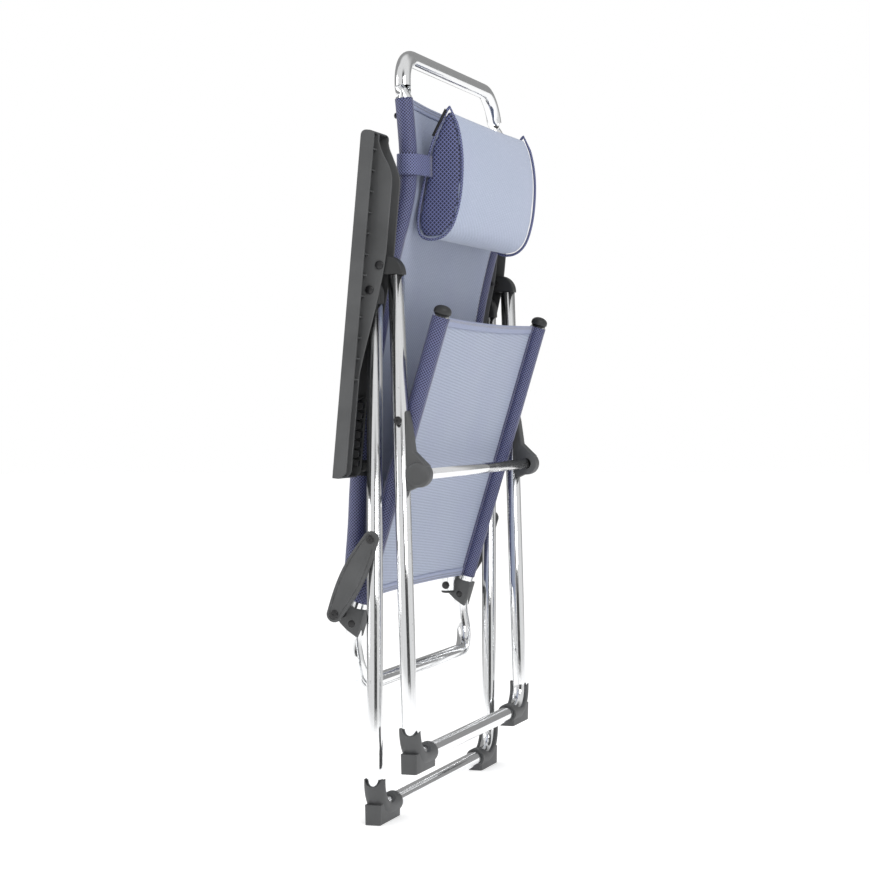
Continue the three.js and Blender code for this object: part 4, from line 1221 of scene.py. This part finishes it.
# %% Seat sling
seat_line = filled([spot(*rail_point(28)), spot(*rail_point(RAIL_LENGTH - 4))], 0.009)
seat_cloth = sling_cloth("seat_cloth", (RAIL_Y - SEAM) * MM, 0.10, 0.0021)
SEAT_SHAPE = dict(half_width=RAIL_Y, lift=-5, hollow=0.003, dip=0.004)
seat_sling, seat_flat = make_sling("seat_sling", seat_line, material=seat_cloth, body="seat", **SEAT_SHAPE)
zigzag_hem, plain_hem = hem_cloth("zigzag_hem_cloth", True), hem_cloth("straight_hem_cloth", False)
make_hem("seat_front_hem", seat_line, ends=True, material=zigzag_hem, body="seat", face=1, **SEAT_SHAPE)
make_hem("seat_rear_hem", seat_line, ends=False, material=plain_hem, body="seat", face=1, **SEAT_SHAPE)

# %% Backrest sling
back_line = filled([spot(p.x, p.y) for p in back_curve if 334 < p.y < 981], 0.009)
back_line = [spot(back_x(330), 330), *back_line, spot(back_x(985), 985)]
back_cloth = sling_cloth("backrest_cloth", (BACK_Y - SEAM) * MM, 0.42, 0.0024)
BACK_SHAPE = dict(half_width=BACK_Y, lift=5, hollow=0.004, dip=0.005)
back_sling, back_flat = make_sling("back_sling", back_line, material=back_cloth, body="backrest", **BACK_SHAPE)
make_hem("backrest_top_hem", back_line, ends=True, material=plain_hem, body="backrest", face=1, **BACK_SHAPE)
make_hem("backrest_foot_hem", back_line, ends=False, material=plain_hem, body="backrest", face=1, **BACK_SHAPE)

# %% [markdown]
# The pillow is a wedge in side view: thin at its top edge, full in front, with flat ends. It
# starts as its outline, stretched across the chair, a little smaller than the real pillow.
# The cloth simulation blows it up, with the seams round its ends held, so the face swells
# between them and the ends stay nearly flat.

# %% Pillow stock
PILLOW_HALF = 190.0
PILLOW_LINE = [(52, 978), (40, 958), (30, 938), (22, 916), (17, 895), (12.5, 872), (9, 850), (6, 830), (5, 815),
               (8, 800), (20, 793), (36, 794), (48, 801), (57, 813), (64, 832), (69, 854), (71.5, 880),
               (71, 910), (67, 938), (60, 963)]


def pillow_outline(inset, steps=3):
    points = [Vector(p) for p in PILLOW_LINE]
    centre = sum(points, Vector((0, 0))) / len(points)
    closed = smooth_line([*points[-2:], *points, *points[:2]], steps)[2 * steps:-2 * steps - 1]
    return [p + (centre - p).normalized() * inset for p in closed]


def pillow_stock(inset, half):
    bm = bmesh.new()
    face = bm.faces.new([bm.verts.new(spot(p.x, p.y, -half)) for p in pillow_outline(inset)])
    made = bmesh.ops.extrude_face_region(bm, geom=[face])["geom"]
    far_end = [g for g in made if isinstance(g, bmesh.types.BMVert)]
    bmesh.ops.translate(bm, vec=(0, 2 * half * MM, 0), verts=far_end)
    return as_mesh(bm)


def swell(mesh, voxel, pressure, frames, cap, held):
    """Remeshes a closed form and lets cloth under pressure swell it, but for the points that are held."""
    piece = bpy.data.objects.new("swelling", mesh)
    bpy.context.scene.collection.objects.link(piece)
    remesh = piece.modifiers.new("remesh", "REMESH")
    remesh.mode, remesh.voxel_size = "VOXEL", voxel
    bpy.context.view_layer.update()
    even = bpy.data.meshes.new_from_object(piece.evaluated_get(bpy.context.evaluated_depsgraph_get()))
    piece.modifiers.clear()
    piece.data = even
    start = [v.co.copy() for v in even.vertices]
    pins = piece.vertex_groups.new(name="held")
    pins.add([v.index for v in even.vertices if held(v.co)], 1.0, "REPLACE")
    cloth = piece.modifiers.new("cloth", "CLOTH")
    cloth.settings.use_pressure = True
    cloth.settings.uniform_pressure_force = pressure
    cloth.settings.effector_weights.gravity = 0
    cloth.settings.vertex_group_mass = "held"
    cloth.settings.tension_stiffness = cloth.settings.compression_stiffness = 20
    scene = bpy.context.scene
    for number in range(1, frames + 1):
        scene.frame_set(number)
    swollen = piece.evaluated_get(bpy.context.evaluated_depsgraph_get()).to_mesh()
    for v, rest, moved in zip(even.vertices, start, swollen.vertices):
        step = moved.co - rest
        v.co = rest + step.normalized() * min(step.length, cap) if step.length > 0 else rest
    scene.frame_set(1)
    bpy.data.objects.remove(piece)
    return even


print("pillow outline has", len(pillow_outline(0)), "corners")

# %% Pillow
stock = pillow_stock(4.0, PILLOW_HALF - 3)
seam_y = (PILLOW_HALF - 9) * MM


def is_held(point):
    return abs(point.y) > seam_y or point.x < spot(16, 0).x


filled_pillow = as_bmesh(swell(stock, 0.0045, 4.0, 20, 0.012, is_held))
for _ in range(3):
    bmesh.ops.smooth_vert(filled_pillow, verts=filled_pillow.verts, factor=0.5, use_axis_x=True,
                          use_axis_y=True, use_axis_z=True)
pillow_mesh = bpy.data.meshes.new("pillow")
filled_pillow.to_mesh(pillow_mesh)
filled_pillow.free()
pillow = finish_mesh("head_pillow", pillow_mesh, [face_cloth, side_cloth], "pillow",
                     ["pillow"], 50)
for polygon in pillow.data.polygons:
    if abs(polygon.center.y) > (PILLOW_HALF - 7) * MM and abs(polygon.normal.y) > 0.6:
        polygon.material_index = 1

# %% [markdown]
# A cord of piping covers the seam round each end. A folded tag is sewn into the seam of the
# right end. It is left blank.

# %% Piping and tag
def piping(name, y):
    points = [spot(p.x, p.y, y) for p in pillow_outline(2.2)]
    closed = [*points, points[0], points[1]]
    bm = tube(closed, 2.0 * MM, 12)
    uv = bm.loops.layers.uv.new("cloth")
    grain = bm.verts.layers.float_vector["grain"]
    for face in bm.faces:
        for corner in face.loops:
            place = corner.vert[grain]
            corner[uv].uv = (math.atan2(place.y, place.x) * 0.002, place.z)
    mesh = bpy.data.meshes.new(name)
    bm.to_mesh(mesh)
    bm.free()
    return finish_mesh(name, mesh, band_cloth, "pillow", (), 60)


piping("pillow_piping_r", -PILLOW_HALF + 3)
piping("pillow_piping_l", PILLOW_HALF - 3)
tag = plate([(48.5, 970), (45.5, 973.5), (26.5, 937), (30.0, 935.5)],
            -PILLOW_HALF - 0.6, -PILLOW_HALF + 1.0, 0.3, 2)
finish_piece("pillow_tag", tag, label_cloth, "pillow")

# %% [markdown]
# The band that holds the pillow goes from one end, round the back of both tubes, to the other.

# %% Band
BAND_LOW, BAND_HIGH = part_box("pillow_band")
band_z = (BAND_LOW.z + BAND_HIGH.z) / 2
band_height = BAND_HIGH.z - BAND_LOW.z


def band_path():
    radius = SLEEVE + 3.4
    centre = back_x(band_z / MM)
    side = [(centre + radius * math.cos(math.radians(a)), BACK_Y + radius * math.sin(math.radians(a)))
            for a in range(25, 181, 5)]
    half = [(27.5, PILLOW_HALF + 1.4), *side]
    other = [(x, -y) for x, y in reversed(half)]
    return [Vector(((x + MIDDLE_X) * MM, y * MM, band_z)) for x, y in [*half, *other]]


line = filled(band_path(), 0.01)
band = bmesh.new()
cloth = band.verts.layers.float_vector.new("cloth_place")
strip = []
for i in range(9):
    v = band.verts.new(line[0] + Vector((0, 0, band_height * (i / 8 - 0.5))))
    v[cloth] = (band_height * (i / 8 - 0.5), 0, 0)
    strip.append(v)
edges = [band.edges.new(pair) for pair in zip(strip, strip[1:])]
along = 0.0
for i, verts in enumerate(sweep(band, edges, [Matrix.Translation(p) for p in line])):
    along += (line[i + 1] - line[i]).length
    for v in verts:
        v[cloth] = (v[cloth].x, along, 0)
band_piece = finish_cloth("pillow_strap", band, cloth, band_cloth, "pillow", ["pillow_band"],
                          0.001)
print("band is", round(along, 3), "m long")

# %% [markdown]
# Last, the scene is brought up to date.

# %% Finish
bpy.context.view_layer.update()
